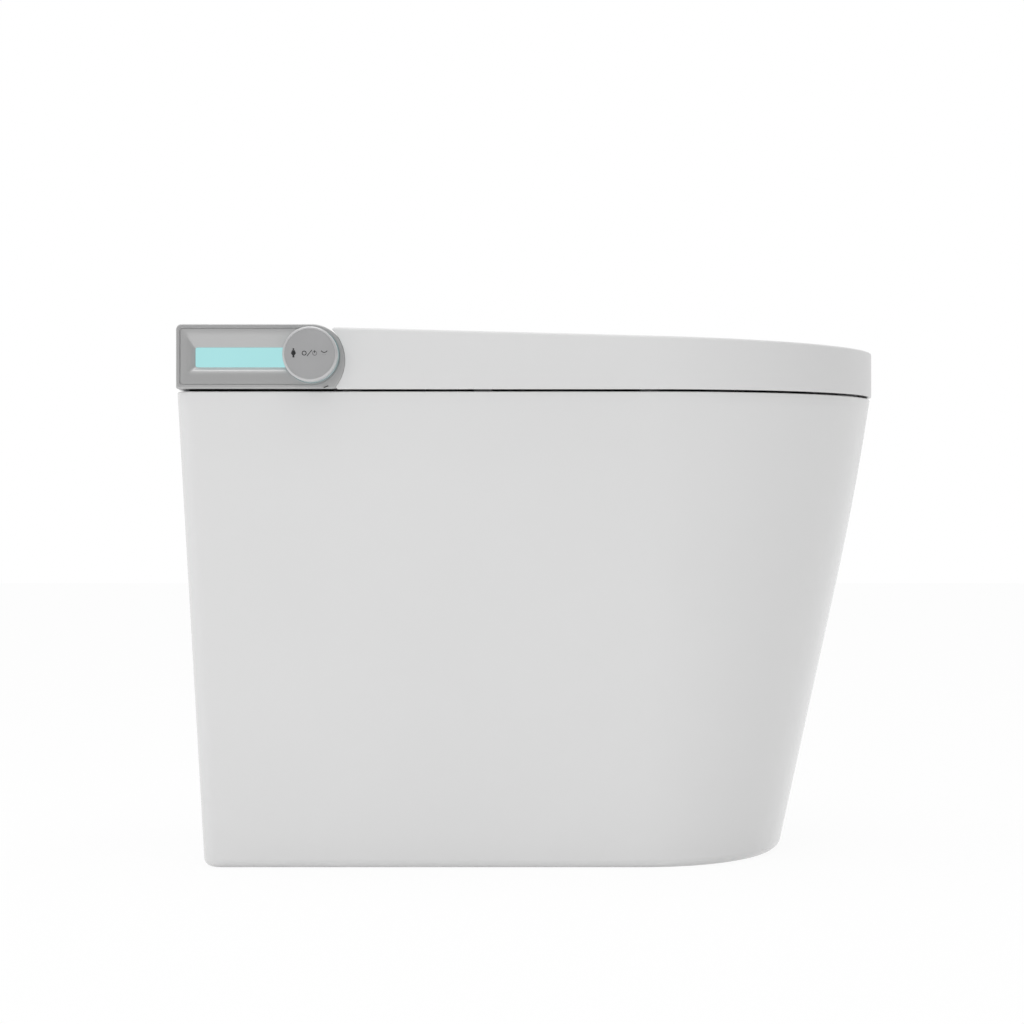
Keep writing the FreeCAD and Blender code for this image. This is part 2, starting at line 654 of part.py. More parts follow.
def make_ceramic():
    """The china's castings, joined before firing: skirt, deck, bowl, sump and trapway."""
    wall = size("china_wall")
    outer = ceramic_loft(0, 0, china_top)
    outer = rounded(outer, size("foot_edge_radius"), lambda edge: edge_between(edge, z_span=(0, 0)))
    outer = rounded(
        outer, size("rim_edge_radius"), lambda edge: edge_between(edge, z_span=(china_top, china_top))
    )
    hollow = ceramic_loft(wall, -1, deck_floor)
    everywhere = (as_size(-600), as_size(600))
    below_deck = box(everywhere, everywhere, (-5, deck_floor))
    deck_slab = box(everywhere, everywhere, (deck_floor, china_top + 5))
    bowl_inside = bowl_loft(0, size("trap_floor"), china_top + 1)
    bowl_outside = bowl_loft(wall, size("trap_floor") - wall, china_top - 1)
    trap_inside = trapway(size("trap_radius"), size("sump_centre"), -1)
    window_half = size("back_window_width") * half
    window = box(
        (size("ceramic_back_top") - 1, size("ceramic_back_foot") + wall * 2),
        (-window_half, window_half),
        (size("back_window_low"), size("back_window_high")),
    )
    window = rounded(
        window,
        size("back_window_corner"),
        lambda edge: abs(edge.BoundBox.XLength - window.Shape.BoundBox.XLength) < 0.01,
    )
    keep("ceramic_skirt", cut(common(outer, below_deck), hollow, window))

    service_opening = box(
        (size("service_opening_back"), size("service_opening_front")),
        (-opening_half, opening_half),
        (deck_floor - 1, china_top + 1),
    )
    notch_front = size("bowl_back") + 48
    notch = box(
        (size("service_opening_front") - 2, notch_front),
        (size("nozzle_notch_right"), size("nozzle_notch_left")),
        (notch_floor, china_top + 1),
    )
    tray_holes = [
        round_bar("z", place_, (deck_floor - 1, china_top + 1), size("tray_bolt_radius") + 0.4)
        for place_ in tray_bolt_places()
    ]
    keep("ceramic_deck", cut(common(outer, deck_slab), bowl_inside, service_opening, notch, *tray_holes))

    chute_half = size("wand_radius") + 6
    chute_low = -size("wand_radius") * 2
    chute = along_wand(box((-30, 150), (-chute_half, chute_half), (chute_low, 20)))
    chute_wall = along_wand(
        box((0, 95), (-chute_half - wall, chute_half + wall), (chute_low - wall, 0))
    )
    notch_wall = wall * 0.8
    notch_block = box(
        (size("service_opening_front") - 1, notch_front + wall),
        (size("nozzle_notch_right") - notch_wall, size("nozzle_notch_left") + notch_wall),
        (notch_floor - wall, deck_floor),
    )
    jet_hole = round_bar(
        "x", (size("rim_jet_y"), rim_jet_z), (-60, 20), size("flush_hose_radius") + 0.02
    )
    above_joint = box(everywhere, everywhere, (size("sump_joint"), deck_floor))
    below_joint = box(everywhere, everywhere, (0, size("sump_joint")))
    bowl = fuse(common(bowl_outside, above_joint), notch_block, chute_wall)
    keep("ceramic_bowl", cut(bowl, bowl_inside, notch, chute, jet_hole))
    keep("ceramic_sump", cut(common(bowl_outside, below_joint), bowl_inside, trap_inside))

    horn_radius = size("trap_radius") + wall * 0.9
    web_half = size("foot_web_length") * half
    web_reach = size("ceramic_width_foot") * half - size("foot_edge_radius") - 1
    web = box((-web_half, web_half), (-web_reach, web_reach), (0, size("foot_web_height")))
    seal_seat = cut(
        round_bar("z", (0, 0), (-1, size("seal_seat_depth")), horn_radius + size("seal_width")),
        round_bar("z", (0, 0), (-2, size("seal_seat_depth") + 1), horn_radius),
    )
    bolt_reach = size("floor_bolt_spacing") * half
    bolt_holes = [
        round_bar("z", (0, side), (-1, size("foot_web_height") + 1), size("floor_bolt_hole_radius"))
        for side in (-bolt_reach, bolt_reach)
    ]
    trap_shell = trapway(horn_radius, size("sump_centre"), 0)
    pieces = fuse(trap_shell, common(web, hollow))
    keep("ceramic_trapway", cut(pieces, trap_inside, bowl_outside, seal_seat, *bolt_holes))


def make_outlet_seal():
    horn = size("trap_radius") + size("china_wall") * 0.9
    depth = size("seal_seat_depth")
    ring = cut(
        round_bar("z", (0, 0), (0, depth), horn + size("seal_width") - loose),
        round_bar("z", (0, 0), (-1, depth + 1), horn + 0.1),
    )
    keep("outlet_seal", ring)


# ---------------------------------------------------------------------------------------------
# The tray, its gasket and its bolts, and the frame that hangs from it.

def tray_bolt_places():
    """The four bolts: two near the back, two beside the opening."""
    side = opening_half + 14
    back = size("service_opening_back") - 9
    middle = size("service_opening_back") + 22
    return [(back, -as_size(24)), (back, as_size(24)), (middle, -side), (middle, side)]


def make_tray():
    body = new_body("deck_tray")
    outline = sketch_on(body, "XY_Plane", unit_floor)
    draw_rectangle(outline, (size("tray_back"), size("tray_front")), (-cap_inner + loose, cap_inner - loose))
    pad(body, outline, size("tray_thickness"))
    opening = sketch_on(body, "XY_Plane", unit_floor - 1)
    guide = size("nozzle_housing_size") * half
    draw_rectangle(opening, (size("tray_back") + 38, size("tray_front") + 1), (-guide - 12, guide + 6))
    hose_x, hose_y = heater_inlet()
    draw_circle(opening, hose_x, hose_y, size("inlet_hose_radius") + 0.5)
    for x, y in tray_bolt_places():
        draw_circle(opening, x, y, size("tray_bolt_radius") + 0.3)
    pocket(body, opening, size("tray_thickness") + 2, backwards=True)
    keep("deck_tray", body)


def make_gasket():
    outer_half = cap_inner - 1
    ring = cut(
        box(
            (size("service_opening_back") - 18, size("tray_front") + 8),
            (-outer_half, outer_half),
            (china_top, unit_floor),
        ),
        box(
            (size("service_opening_back") - 4, size("tray_front") + 9),
            (-opening_half - 5, opening_half + 5),
            (china_top - 1, unit_floor + 1),
        ),
        *[round_bar("z", where, (china_top - 1, unit_floor + 1), size("tray_bolt_radius") + 0.4)
          for where in tray_bolt_places()],
    )
    keep("deck_gasket", ring)


def make_tray_fixings():
    shank = size("tray_bolt_radius")
    bolts, nuts = [], []
    for x, y in tray_bolt_places():
        head = round_bar("z", (x, y), (tray_top, tray_top + 3.5), shank * 2)
        stem = round_bar("z", (x, y), (deck_floor - 8, tray_top), shank)
        bolts.append(fuse(head, stem))
        nut = round_bar("z", (x, y), (deck_floor - 6, deck_floor), shank * 2)
        nuts.append(cut(nut, round_bar("z", (x, y), (deck_floor - 7, deck_floor + 1), shank + 0.02)))
    keep("tray_bolts", group(*bolts))
    keep("tray_nuts", group(*nuts))


def make_frame():
    plate = size("frame_plate")
    back, front = frame_back, frame_front
    floor = size("frame_floor")
    sides = [box((back, front), span, (floor, unit_floor)) for span in both_sides(frame_inner, frame_half)]
    shelf = box((back, front), (-frame_half, frame_half), (floor, shelf_top))
    window_half = size("back_window_width") * half
    back_plate = box((back, back + plate), (-window_half, window_half), (floor, size("back_window_high") - 10))
    blower_shelf = box(
        (back + 10, front - 12), (size("duct_middle_y") - 22, frame_half), (scroll_floor() - 5, scroll_floor() - 2)
    )
    whole = fuse(*sides, shelf, back_plate, blower_shelf)
    holes = [
        round_bar("x", (size("inlet_y"), size("inlet_height")), (back - 1, back + plate + 1),
                  size("inlet_thread_radius") + 0.3),
        round_bar("x", (size("gland_y"), size("inlet_height")), (back - 1, back + plate + 1),
                  size("gland_radius") - 1.5),
    ]
    windows = [
        box((back + 22, front - 22), (low - 1, high + 1), (shelf_top + 24, scroll_floor() - 24))
        for low, high in both_sides(frame_inner, frame_half)
    ]
    keep("service_frame", cut(whole, *holes, *windows))


# ---------------------------------------------------------------------------------------------
# The rear unit's cover and side caps.

def unit_profile(y_span, inset=0):
    """The rear unit's side shape, swept along Y."""
    inset = as_size(inset)
    floor = unit_floor
    radius = size("unit_nose_radius") - inset
    back = size("unit_back") + inset
    slab = box((back, nose_x), y_span, (floor, unit_top - inset))
    slab = rounded(
        slab,
        size("unit_back_edge") - inset * half,
        lambda edge: edge_between(edge, x_span=(back, back), z_span=(unit_top - inset, unit_top - inset)),
    )
    front = fuse(
        round_bar("y", nose, y_span, radius),
        common(
            round_bar("y", foot_round, y_span, foot_radius - inset),
            box((nose_x, nose_x + 60), y_span, (floor - 1, foot_top)),
        ),
    )
    front = common(front, box((nose_x - 60, nose_x + 60), y_span, (floor, unit_top)))
    return fuse(slab, front)


def make_rear_cover():
    span = (-cap_inner, cap_inner)
    wall = size("cover_wall")
    shell = cut(
        unit_profile(span),
        unit_profile((-cap_inner - 1, cap_inner + 1), wall),
        box((size("unit_back") + wall, nose_x + 12), (-cap_inner - 1, cap_inner + 1), (unit_floor - 1, unit_floor + 12)),
    )
    liners, spaces = [], []
    liner_wall = 2
    barrel_room = size("knuckle_radius") + 1.3
    for side, (low, high) in zip((-1, 1), both_sides(pocket_inner, cap_inner)):
        outside = (low, high + liner_wall) if side < 0 else (low - liner_wall, high)
        block = common(
            unit_profile(outside),
            box((hinge_x - barrel_room - liner_wall, nose_x + 60), outside, (tray_top + loose, unit_top)),
        )
        liners.append(block)
        reach = (low - 1, high) if side < 0 else (low, high + 1)
        spaces.append(round_bar("y", hinge, reach, barrel_room))
        spaces.append(wedge_bar(hinge, reach, 70, -38, 101))
        pin_reach = (low - 5, high + 5)
        spaces.append(round_bar("y", hinge, pin_reach, pin_radius + loose))
    solid = fuse(shell, *liners)
    sensor_hole = round_bar("x", (0, nose_z), (nose_x + 20, nose_x + 40), 6.3)
    keep("rear_cover", cut(solid, *spaces, sensor_hole))


def cap_span(side, depth_from_face, depth_to):
    """A span of Y in a side cap, measured inwards from its outer face."""
    near = unit_half - depth_from_face
    far = unit_half - depth_to
    return (-near, -far) if side < 0 else (far, near)


def recess(side):
    """A recess with mitred slopes, from the cap's border down to the display window."""
    margin = size("recess_margin")
    low_z, high_z = unit_floor + margin, unit_top - margin
    window_low, window_high = window_z()
    back = size("unit_back") + margin
    front = nose_x + size("unit_nose_radius") - margin
    depth = size("recess_depth")
    slope = doc.addObject("Part::Wedge", "recess")
    bind(slope, "Xmin", back)
    bind(slope, "Xmax", front)
    bind(slope, "Zmin", low_z)
    bind(slope, "Zmax", high_z)
    bind(slope, "X2min", size("window_back"))
    bind(slope, "X2max", front)
    bind(slope, "Z2min", window_low)
    bind(slope, "Z2max", window_high)
    bind(slope, "Ymin", -unit_half)
    bind(slope, "Ymax", -unit_half + depth)
    if side < 0:
        return slope
    flipped = doc.addObject("Part::Mirroring", "flipped_recess")
    flipped.Source = slope
    flipped.Normal = Y_AXIS
    return flipped


def window_z():
    middle = nose_z + 0.1
    return middle - size("window_height") * half, middle + size("window_height") * half


def knob_centre():
    return nose_x, nose_z + size("knob_rise")


def cap_blank(side):
    """A side cap with its rounded outer edge, its recess and the socket of its hinge pin."""
    span = cap_span(side, 0, size("side_cap_depth"))
    face = as_size(span[0] if side < 0 else span[1])
    blank = rounded(
        unit_profile(span),
        size("cap_edge"),
        lambda edge: edge_between(edge, y_span=(face, face)) and edge.BoundBox.ZMax > unit_floor.value + 1,
    )
    recess_limit = common(
        recess(side),
        fuse(
            box((size("unit_back"), nose_x), span, (unit_floor, unit_top)),
            round_bar("y", nose, span, size("unit_nose_radius") - size("recess_margin")),
        ),
    )
    socket = cap_span(side, size("side_cap_depth") - 5.5, size("side_cap_depth") + 1)
    return cut(blank, recess_limit, round_bar("y", hinge, socket, fixed_bore))


def make_side_caps():
    depth = size("recess_depth")
    window_low, window_high = window_z()
    knob_x, knob_z = knob_centre()
    blank = cap_blank(-1)
    pit_depth = depth + 3.5
    window_pit = box(
        (size("window_back") + 0.01, size("window_front") + 6), cap_span(-1, depth - 0.5, pit_depth),
        (window_low + 0.01, window_high - 0.01),
    )
    ring_pit = round_bar("y", (knob_x, knob_z), cap_span(-1, -1, depth), size("knob_radius") + 0.8)
    encoder_pit = round_bar("y", (knob_x, knob_z), cap_span(-1, depth - 1, depth + 9.3), 11.8)
    keep("side_cap_right", cut(blank, window_pit, ring_pit, encoder_pit))
    left = cap_blank(1)
    plate_pit = box(
        (size("window_back") + 0.01, size("window_front") + 40), cap_span(1, depth - 0.5, depth + 2),
        (window_low + 0.01, window_high - 0.01),
    )
    keep("side_cap_left", cut(left, plate_pit))
    plate = box(
        (size("window_back") + loose, size("window_front") + 40 - loose), cap_span(1, depth + 0.2, depth + 2),
        (window_low + loose, window_high - loose),
    )
    keep("side_cap_inlay", plate)


def make_display():
    depth = size("recess_depth")
    window_low, window_high = window_z()
    x_span = (size("window_back") + loose, size("window_front") + 6 - loose)
    z_span = (window_low + loose, window_high - loose)
    glass = box(x_span, cap_span(-1, depth, depth + size("window_thickness")), z_span)
    knob_x, knob_z = knob_centre()
    ring_space = round_bar("y", (knob_x, knob_z), cap_span(-1, -1, depth + 5), size("knob_radius") + 1.1)
    keep("display_window", cut(glass, ring_space))
    board = box(
        x_span, cap_span(-1, depth + size("window_thickness") + 0.2, depth + size("window_thickness") + 1.4), z_span
    )
    board = cut(board, round_bar("y", (knob_x, knob_z), cap_span(-1, -1, depth + 5), size("knob_radius") + 1.1))
    keep("display_board", board)


def make_knob():
    centre = knob_centre()
    depth = size("recess_depth")
    radius = size("knob_radius")
    travel = size("knob_travel")
    face = -unit_half - size("knob_proud")
    floor = -unit_half + depth
    rim = floor - travel - 2.8
    ring_span = (floor - 3.2 + travel, floor)
    light = cut(
        round_bar("y", centre, ring_span, radius + 0.6),
        round_bar("y", centre, (ring_span[0] - 1, ring_span[1] + 1), radius - 4.5),
    )
    keep("light_ring", light)
    bevel = size("knob_bevel")
    plate = size("knob_face_thickness")
    plate_radius = radius - bevel - 0.5
    cap = fuse(
        round_bar("y", centre, (face + bevel, rim), radius),
        cone_bar(centre, (face, face + bevel), radius - bevel, radius),
    )
    inside = round_bar("y", centre, (face + size("knob_wall") + plate, rim + 1), radius - size("knob_wall"))
    stem_end = face + size("knob_wall") + plate + 1.5
    stem_radius = 4.95
    boss = round_bar("y", centre, (face + plate + 1, rim - 3), 9)
    cap = fuse(cut(cap, inside), boss)
    bore = round_bar("y", centre, (stem_end - 0.5, rim + 1), stem_radius + size("running_gap"))
    plate_pit = round_bar("y", centre, (face - 1, face + plate), plate_radius + 0.05)
    keep("knob_cap", cut(cap, bore, plate_pit))
    keep("knob_face", round_bar("y", centre, (face + 0.3, face + plate), plate_radius))
    knob_x, knob_z = centre
    shoulder = rim - 2
    stem = fuse(
        round_bar("y", centre, (stem_end, shoulder), stem_radius),
        box((knob_x - 3, knob_x + 3), (shoulder, floor + 3.5), (knob_z - 3, knob_z + 3)),
    )
    keep("knob_plunger", stem)
    body_end = floor + 9
    encoder = cut(
        round_bar("y", centre, (floor, body_end), 11.5),
        box((knob_x - 3.15, knob_x + 3.15), (floor - 1, floor + 3.5 + travel + 1), (knob_z - 3.15, knob_z + 3.15)),
    )
    keep("knob_encoder", encoder)


# ---------------------------------------------------------------------------------------------
# The hinge, the lid and the seat.

def make_hinge():
    for name, side in (("hinge_bracket_right", -1), ("hinge_bracket_left", 1)):
        near, far = bracket
        span = (-far, -near) if side < 0 else (near, far)
        body = new_body(name)
        profile = sketch_on(body, "XZ_Plane", -(span[0] + span[1]) * half)
        wide, narrow = as_size(20), size("damper_radius") + 3
        draw_polygon(profile, [
            (hinge_x - wide, tray_top),
            (hinge_x + 16, tray_top),
            (hinge_x + 16, tray_top + 4),
            (hinge_x + narrow, hinge_z),
            (hinge_x + narrow * half, hinge_z + narrow),
            (hinge_x - narrow * half, hinge_z + narrow),
            (hinge_x - narrow, hinge_z),
            (hinge_x - wide, tray_top + 4),
        ])
        draw_circle(profile, hinge_x, hinge_z, fixed_bore)
        pad(body, profile, size("bracket_width"), symmetric=True)
        keep(name, body)
    pins = [round_bar("y", hinge, span, pin_radius) for span in both_sides(*pin_span)]
    keep("hinge_pins", group(*pins))
    for name, (low, high) in zip(
        ("seat_damper", "lid_damper"), both_sides(bracket[0] - size("damper_length"), bracket[0])
    ):
        keep(name, round_bar("y", hinge, (low, high), size("damper_radius")))


def lid_solid(inset, width_inset):
    """The lid's outer shape, or its inside at a distance of inset from it."""
    inset = as_size(inset)
    back = nose_x + 18.5
    outline = plan_outline(
        back - 30, size("nose_start_top"), size("lid_front") - width_inset,
        size("unit_width") - as_size(width_inset) * 2, 2, unit_floor,
    )
    tall = raise_outline(outline, size("lid_back_height") - inset)
    above = doc.addObject("Part::Box", "above_lid")
    bind(above, "Length", 700)
    bind(above, "Width", 500)
    bind(above, "Height", 80)
    above.Placement.Rotation = FreeCAD.Rotation(Y_AXIS, size("lid_slope").value)
    bind(above, "Placement.Rotation.Angle", size("lid_slope"))
    place(above, back, -250, unit_floor + size("lid_back_height") - inset)
    hollow_radius = foot_radius + size("lid_clearance") + inset
    wide = (-unit_half - 1, unit_half + 1)
    return cut(
        tall,
        above,
        round_bar("y", foot_round, wide, hollow_radius),
        box((back - 60, back + inset), wide, (unit_floor - 1, unit_top + 60)),
    )


def make_lid():
    wall = size("lid_wall")
    doc.recompute()
    outer = lid_solid(0, 0)
    lid_front_start = nose_x + 30
    outer = rounded(
        outer,
        size("lid_edge_radius"),
        lambda edge: edge.BoundBox.ZMin > unit_floor.value + 20
        and edge.BoundBox.XMax > lid_front_start.value
        and edge.BoundBox.XLength > 1,
    )
    inner = lid_solid(wall, wall)
    arm_reach = size("hinge_back") + size("unit_nose_radius") + wall
    shell = cut(outer, inner)
    arms, bores = [], []
    for low, high in both_sides(*lid_knuckle):
        arms.append(round_bar("y", hinge, (low, high), size("knuckle_radius")))
        arms.append(wedge_bar(hinge, (low, high), arm_reach, -34, 2))
        bores.append(round_bar("y", hinge, (low - 1, high + 1), knuckle_bore))
    slots = [
        box((hinge_x + 30, hinge_x + 49), (low - 0.8, high + 0.8), (unit_floor - 1, hinge_z + 1))
        for low, high in both_sides(*seat_knuckle)
    ]
    lugs = [
        box((x - 8, x + 8), span, (unit_floor, unit_floor + 2))
        for x in (bumper_x(0), bumper_x(1))
        for span in both_sides(unit_half - wall - 7, unit_half - wall * half)
    ]
    keep("lid_shell", cut(fuse(shell, *arms, *lugs), *bores, *slots))


def bumper_x(number):
    """The lid's bumpers: one pair near the middle, one pair near the front."""
    return nose_x + 155 + number * 150


def make_lid_bumpers():
    reach = size("bumper_length") * half
    thick = size("unit_gap") - 0.4
    span_from = unit_half - size("lid_wall") - 6.5
    pads = [
        box((bumper_x(number) - reach, bumper_x(number) + reach), span, (unit_floor - thick, unit_floor))
        for number in (0, 1)
        for span in both_sides(span_from, span_from + 4)
    ]
    keep("lid_bumpers", group(*pads))


def seat_plan(inset, hole_outset, low, high):
    """The seat's ring: its outline drawn in by inset, its hole widened by hole_outset."""
    inset = as_size(inset)
    outline = plan_outline(
        hinge_x + size("seat_back_gap") + inset, size("nose_start_top"), size("seat_front") - inset,
        size("seat_width") - inset * 2, as_size(10) - inset, low,
    )
    hole = seat_hole(hole_outset, as_size(low) - 1)
    return cut(
        raise_outline(outline, as_size(high) - low),
        raise_outline(hole, as_size(high) - low + 2),
    )


def seat_hole(outset, low):
    reach = size("seat_hole_length") * half + outset
    centre = size("seat_hole_centre")
    return oval_outline(centre - reach, centre + reach, size("seat_hole_width") + as_size(outset) * 2, low)


def make_seat():
    low = china_top + size("seat_lift")
    high = low + size("seat_height")
    shell = size("seat_shell")
    block = seat_plan(0, 0, low, high)
    hole_reach = size("seat_hole_length").value / 2 + 1
    hole_x = size("seat_hole_centre").value

    def on_top(edge):
        return edge_between(edge, z_span=(high, high))

    def at_hole(edge):
        box_ = edge.BoundBox
        return abs(box_.Center.x - hole_x) < 1 and box_.XLength < hole_reach * 2

    block = rounded(block, size("seat_outer_round"), lambda edge: on_top(edge) and not at_hole(edge))
    block = rounded(block, size("seat_inner_round"), lambda edge: on_top(edge) and at_hole(edge))
    channel = seat_plan(shell, shell, low - 1, high - shell)
    arms, bores = [], []
    reach = size("seat_back_gap") + shell
    for near, far in both_sides(*seat_knuckle):
        arms.append(round_bar("y", hinge, (near, far), size("knuckle_radius")))
        arms.append(wedge_bar(hinge, (near, far), reach, -34, -4))
        bores.append(round_bar("y", hinge, (near - 1, far + 1), knuckle_bore))
    keep("seat_top", cut(fuse(cut(block, channel), *arms), *bores))
    base = seat_plan(shell + 0.2, shell + 0.2, low, low + size("seat_floor"))
    keep("seat_base", base)
    foil_top = high - shell - 0.2
    keep("seat_heater", seat_plan(shell + 6, shell + 6, foil_top - size("heater_foil"), foil_top))
    pads = [
        box((x - 15, x + 15), (y - 6, y + 6), (china_top + 0.4, low))
        for x, reach_y in ((nose_x + 117, 160), (nose_x + 370, 150))
        for y in (-as_size(reach_y), as_size(reach_y))
    ]
    keep("seat_bumpers", group(*pads))


# ---------------------------------------------------------------------------------------------
# The spray wand, in its own coordinates: X along the wand towards its tip, which is at 0.

def along_wand(piece):
    """Puts a piece drawn in the wand's own coordinates where the wand is."""
    carried = group(piece)
    carried.Placement.Rotation = FreeCAD.Rotation(Y_AXIS, size("nozzle_slope").value)
    bind(carried, "Placement.Rotation.Angle", size("nozzle_slope"))
    place(carried, size("nozzle_tip_x"), 0, nozzle_tip_z)
    return carried


def pitch_radius():
    return size("gear_module") * size("pinion_teeth") * half


def rack_pitch_z():
    """The rack's pitch line, below the wand's axis."""
    return -size("wand_radius") - size("gear_module") * 3


def make_wand():
    radius = size("wand_radius")
    rear = -size("wand_length")
    tip_length = size("wand_tip_length")
    wand = cut(
        round_bar("x", (0, 0), (rear, -tip_length), radius),
        round_bar("x", (0, 0), (rear - 1, -tip_length + 1), radius * 0.35),
        box(
            (rear - 1, -tip_length + 1),
            (-size("gear_width") * half, size("gear_width") * half),
            (-radius - 1, -radius + 1.2),
        ),
    )
    keep("nozzle_wand", along_wand(wand))
    tip_round = doc.addObject("Part::Sphere", "tip_round")
    bind(tip_round, "Radius", radius)
    place(tip_round, -radius, 0, 0)
    tip = fuse(round_bar("x", (0, 0), (-tip_length, -radius), radius), tip_round)
    jets = [round_bar("z", (-tip_length * share, 0), (0, radius + 1), 0.8) for share in (0.45, 0.6, 0.75)]
    flat = box((-tip_length * 0.85, 0), (-radius, radius), (radius - 1.2, radius + 1))
    keep("nozzle_tip", along_wand(cut(tip, flat, *jets)))
    gate = round_bar("x", (0, 0), (0, 1.6), radius + 1.4)
    keep("nozzle_gate", along_wand(gate))


def make_rack():
    """A rack under the wand, one tooth repeated along it."""
    module = size("gear_module")
    width = size("gear_width") - loose
    body = new_body("wand_rack")
    base = sketch_on(body, "XZ_Plane")
    rear = -size("wand_length") + 2
    front = -size("pinion_back") + 10
    pitch_line = rack_pitch_z()
    root = pitch_line + module * 1.15
    draw_rectangle(base, (rear, front), (root, -size("wand_radius") + 1.2))
    pad(body, base, width, symmetric=True)
    tooth = sketch_on(body, "XZ_Plane")
    step = module * math.pi
    # The pinion's tooth points into a gap, so the first rack tooth is half a step in front of it.
    centre = -size("pinion_back") + step * 2.5
    tip = pitch_line - module * 0.9
    draw_polygon(tooth, [
        (centre - module * 1.129, root + 0.01),
        (centre - module * 0.382, tip),
        (centre + module * 0.382, tip),
        (centre + module * 1.129, root + 0.01),
    ])
    single = pad(body, tooth, width, symmetric=True)
    row = body.newObject("PartDesign::LinearPattern", "row")
    row.Originals = [single]
    row.Direction = (tooth, ["H_Axis"])
    row.Reversed = True
    row.Mode = "Spacing"
    count = math.floor((centre.value - rear.value) / step.value)
    bind(row, "Offset", step)
    row.Occurrences = count
    body.Tip = row
    keep("wand_rack", along_wand(body))


def make_pinion():
    module = size("gear_module")
    pitch = pitch_radius()
    body = new_body("drive_pinion")
    centre_x = -size("pinion_back")
    centre_z = rack_pitch_z() - pitch
    body_sketch = sketch_on(body, "XZ_Plane")
    draw_circle(body_sketch, 0, 0, pitch - module * 1.15)
    pad(body, body_sketch, size("gear_width"), symmetric=True)
    tooth = sketch_on(body, "XZ_Plane")
    # Half widths of the tooth at its root, below the pitch circle, on it and at the tip.
    draw_polygon(tooth, [
        (-module * 0.70, pitch - module * 1.3),
        (module * 0.70, pitch - module * 1.3),
        (module * 0.78, pitch - module * 0.48),
        (module * 0.71, pitch),
        (module * 0.31, pitch + module * 0.9),
        (-module * 0.31, pitch + module * 0.9),
        (-module * 0.71, pitch),
        (-module * 0.78, pitch - module * 0.48),
    ])
    single = pad(body, tooth, size("gear_width"), symmetric=True)
    polar_pattern(body, single, body_sketch, size("pinion_teeth"))
    slope = math.radians(size("nozzle_slope").value)
    x = size("nozzle_tip_x") + centre_x * math.cos(slope) + centre_z * math.sin(slope)
    z = nozzle_tip_z - centre_x * math.sin(slope) + centre_z * math.cos(slope)
    body.Placement.Rotation = FreeCAD.Rotation(Y_AXIS, size("nozzle_slope").value)
    place(body, x, 0, z)
    shaft_span = (-size("nozzle_housing_size") * half - pinion_shaft_depth, size("gear_width") * half)
    shaft = round_bar("y", (centre_x, centre_z), shaft_span, pinion_shaft_radius)
    keep("drive_pinion", fuse(body, along_wand(shaft)))


def make_nozzle_housing():
    outer = size("nozzle_housing_size") * half
    rear = -size("wand_length") - 10
    front = as_size(-14)
    bore = size("wand_radius") + loose
    slot = size("gear_width") * half + 0.5
    centre_x = -size("pinion_back")
    centre_z = rack_pitch_z() - pitch_radius()
    ear = box((centre_x - 17, centre_x + 17), (-outer, -outer + 3), (centre_z - 17, 0))
    body = fuse(box((rear, front), (-outer, outer), (-outer, outer)), ear)
    tip_radius = pitch_radius() + size("gear_module")
    carved = cut(
        body,
        round_bar("x", (0, 0), (rear + 6, front + 1), bore),
        box((rear + 6, front + 1), (-slot, slot), (-outer - 1, 0)),
        box((centre_x - tip_radius - 1, centre_x + tip_radius + 1), (-slot, slot), (centre_z, 0)),
        round_bar("y", (centre_x, centre_z), (-outer - 1, 0), 3),
    )
    keep("nozzle_housing", along_wand(carved))
    can = round_bar("y", (centre_x, centre_z), (-outer - 19, -outer), 13)
    tabs = box((centre_x - 16, centre_x + 16), (-outer - 1, -outer), (centre_z - 4, centre_z + 4))
    bearing = round_bar(
        "y",
        (centre_x, centre_z),
        (-outer - pinion_shaft_depth - 0.5, -outer + 1),
        pinion_shaft_radius + size("running_gap"),
    )
    keep("wand_motor", along_wand(cut(fuse(can, tabs), bearing)))


def make_shroud():
    """The panel that closes the notch behind the bowl, around the wand and the dryer's outlet."""
    right, left = size("nozzle_notch_right") + loose, size("nozzle_notch_left") - loose
    low, high = notch_floor + loose, china_top - 1
    front = size("shroud_front")
    thick = size("shroud_thickness")
    upright = box((front - thick, front), (right, left), (low, high))
    top = box((size("service_opening_front") + 1, front), (right, left), (high - thick, high))
    hole = round_bar("x", (0, 0), (-30, 30), size("wand_radius") + 2.2)
    slot_half = size("gear_width") * half + 0.8
    slot = box((-30, 30), (-slot_half, slot_half), (rack_pitch_z() - 2.2, 0))
    wand_space = along_wand(fuse(hole, slot))
    housing_half = size("nozzle_housing_size") * half + loose
    housing_space = along_wand(box((-90, -13.5), (-housing_half, housing_half), (-housing_half, housing_half)))
    duct_half = size("duct_width") * half + 1.2
    middle = size("duct_middle_y")
    duct_space = box(
        (front - thick - 1, front + 1), (middle - duct_half, middle + duct_half),
        (duct_top - size("duct_height") - 1, duct_top + 4),
    )
    duct_top_space = box(
        (size("service_opening_front"), front - thick), (middle - duct_half, middle + duct_half),
        (duct_top - size("duct_height") - 1, duct_top + loose),
    )
    keep("nozzle_shroud", cut(fuse(upright, top), wand_space, housing_space, duct_space, duct_top_space))


# ---------------------------------------------------------------------------------------------
# The warm-air dryer.

def scroll_centre():
    return size("scroll_x"), duct_top - size("scroll_radius")


def scroll_floor():
    return duct_top - size("scroll_radius") * 2


def duct_spans():
    reach = size("duct_width") * half
    middle = size("duct_middle_y")
    return (middle - reach, middle + reach), (duct_top - size("duct_height"), duct_top)


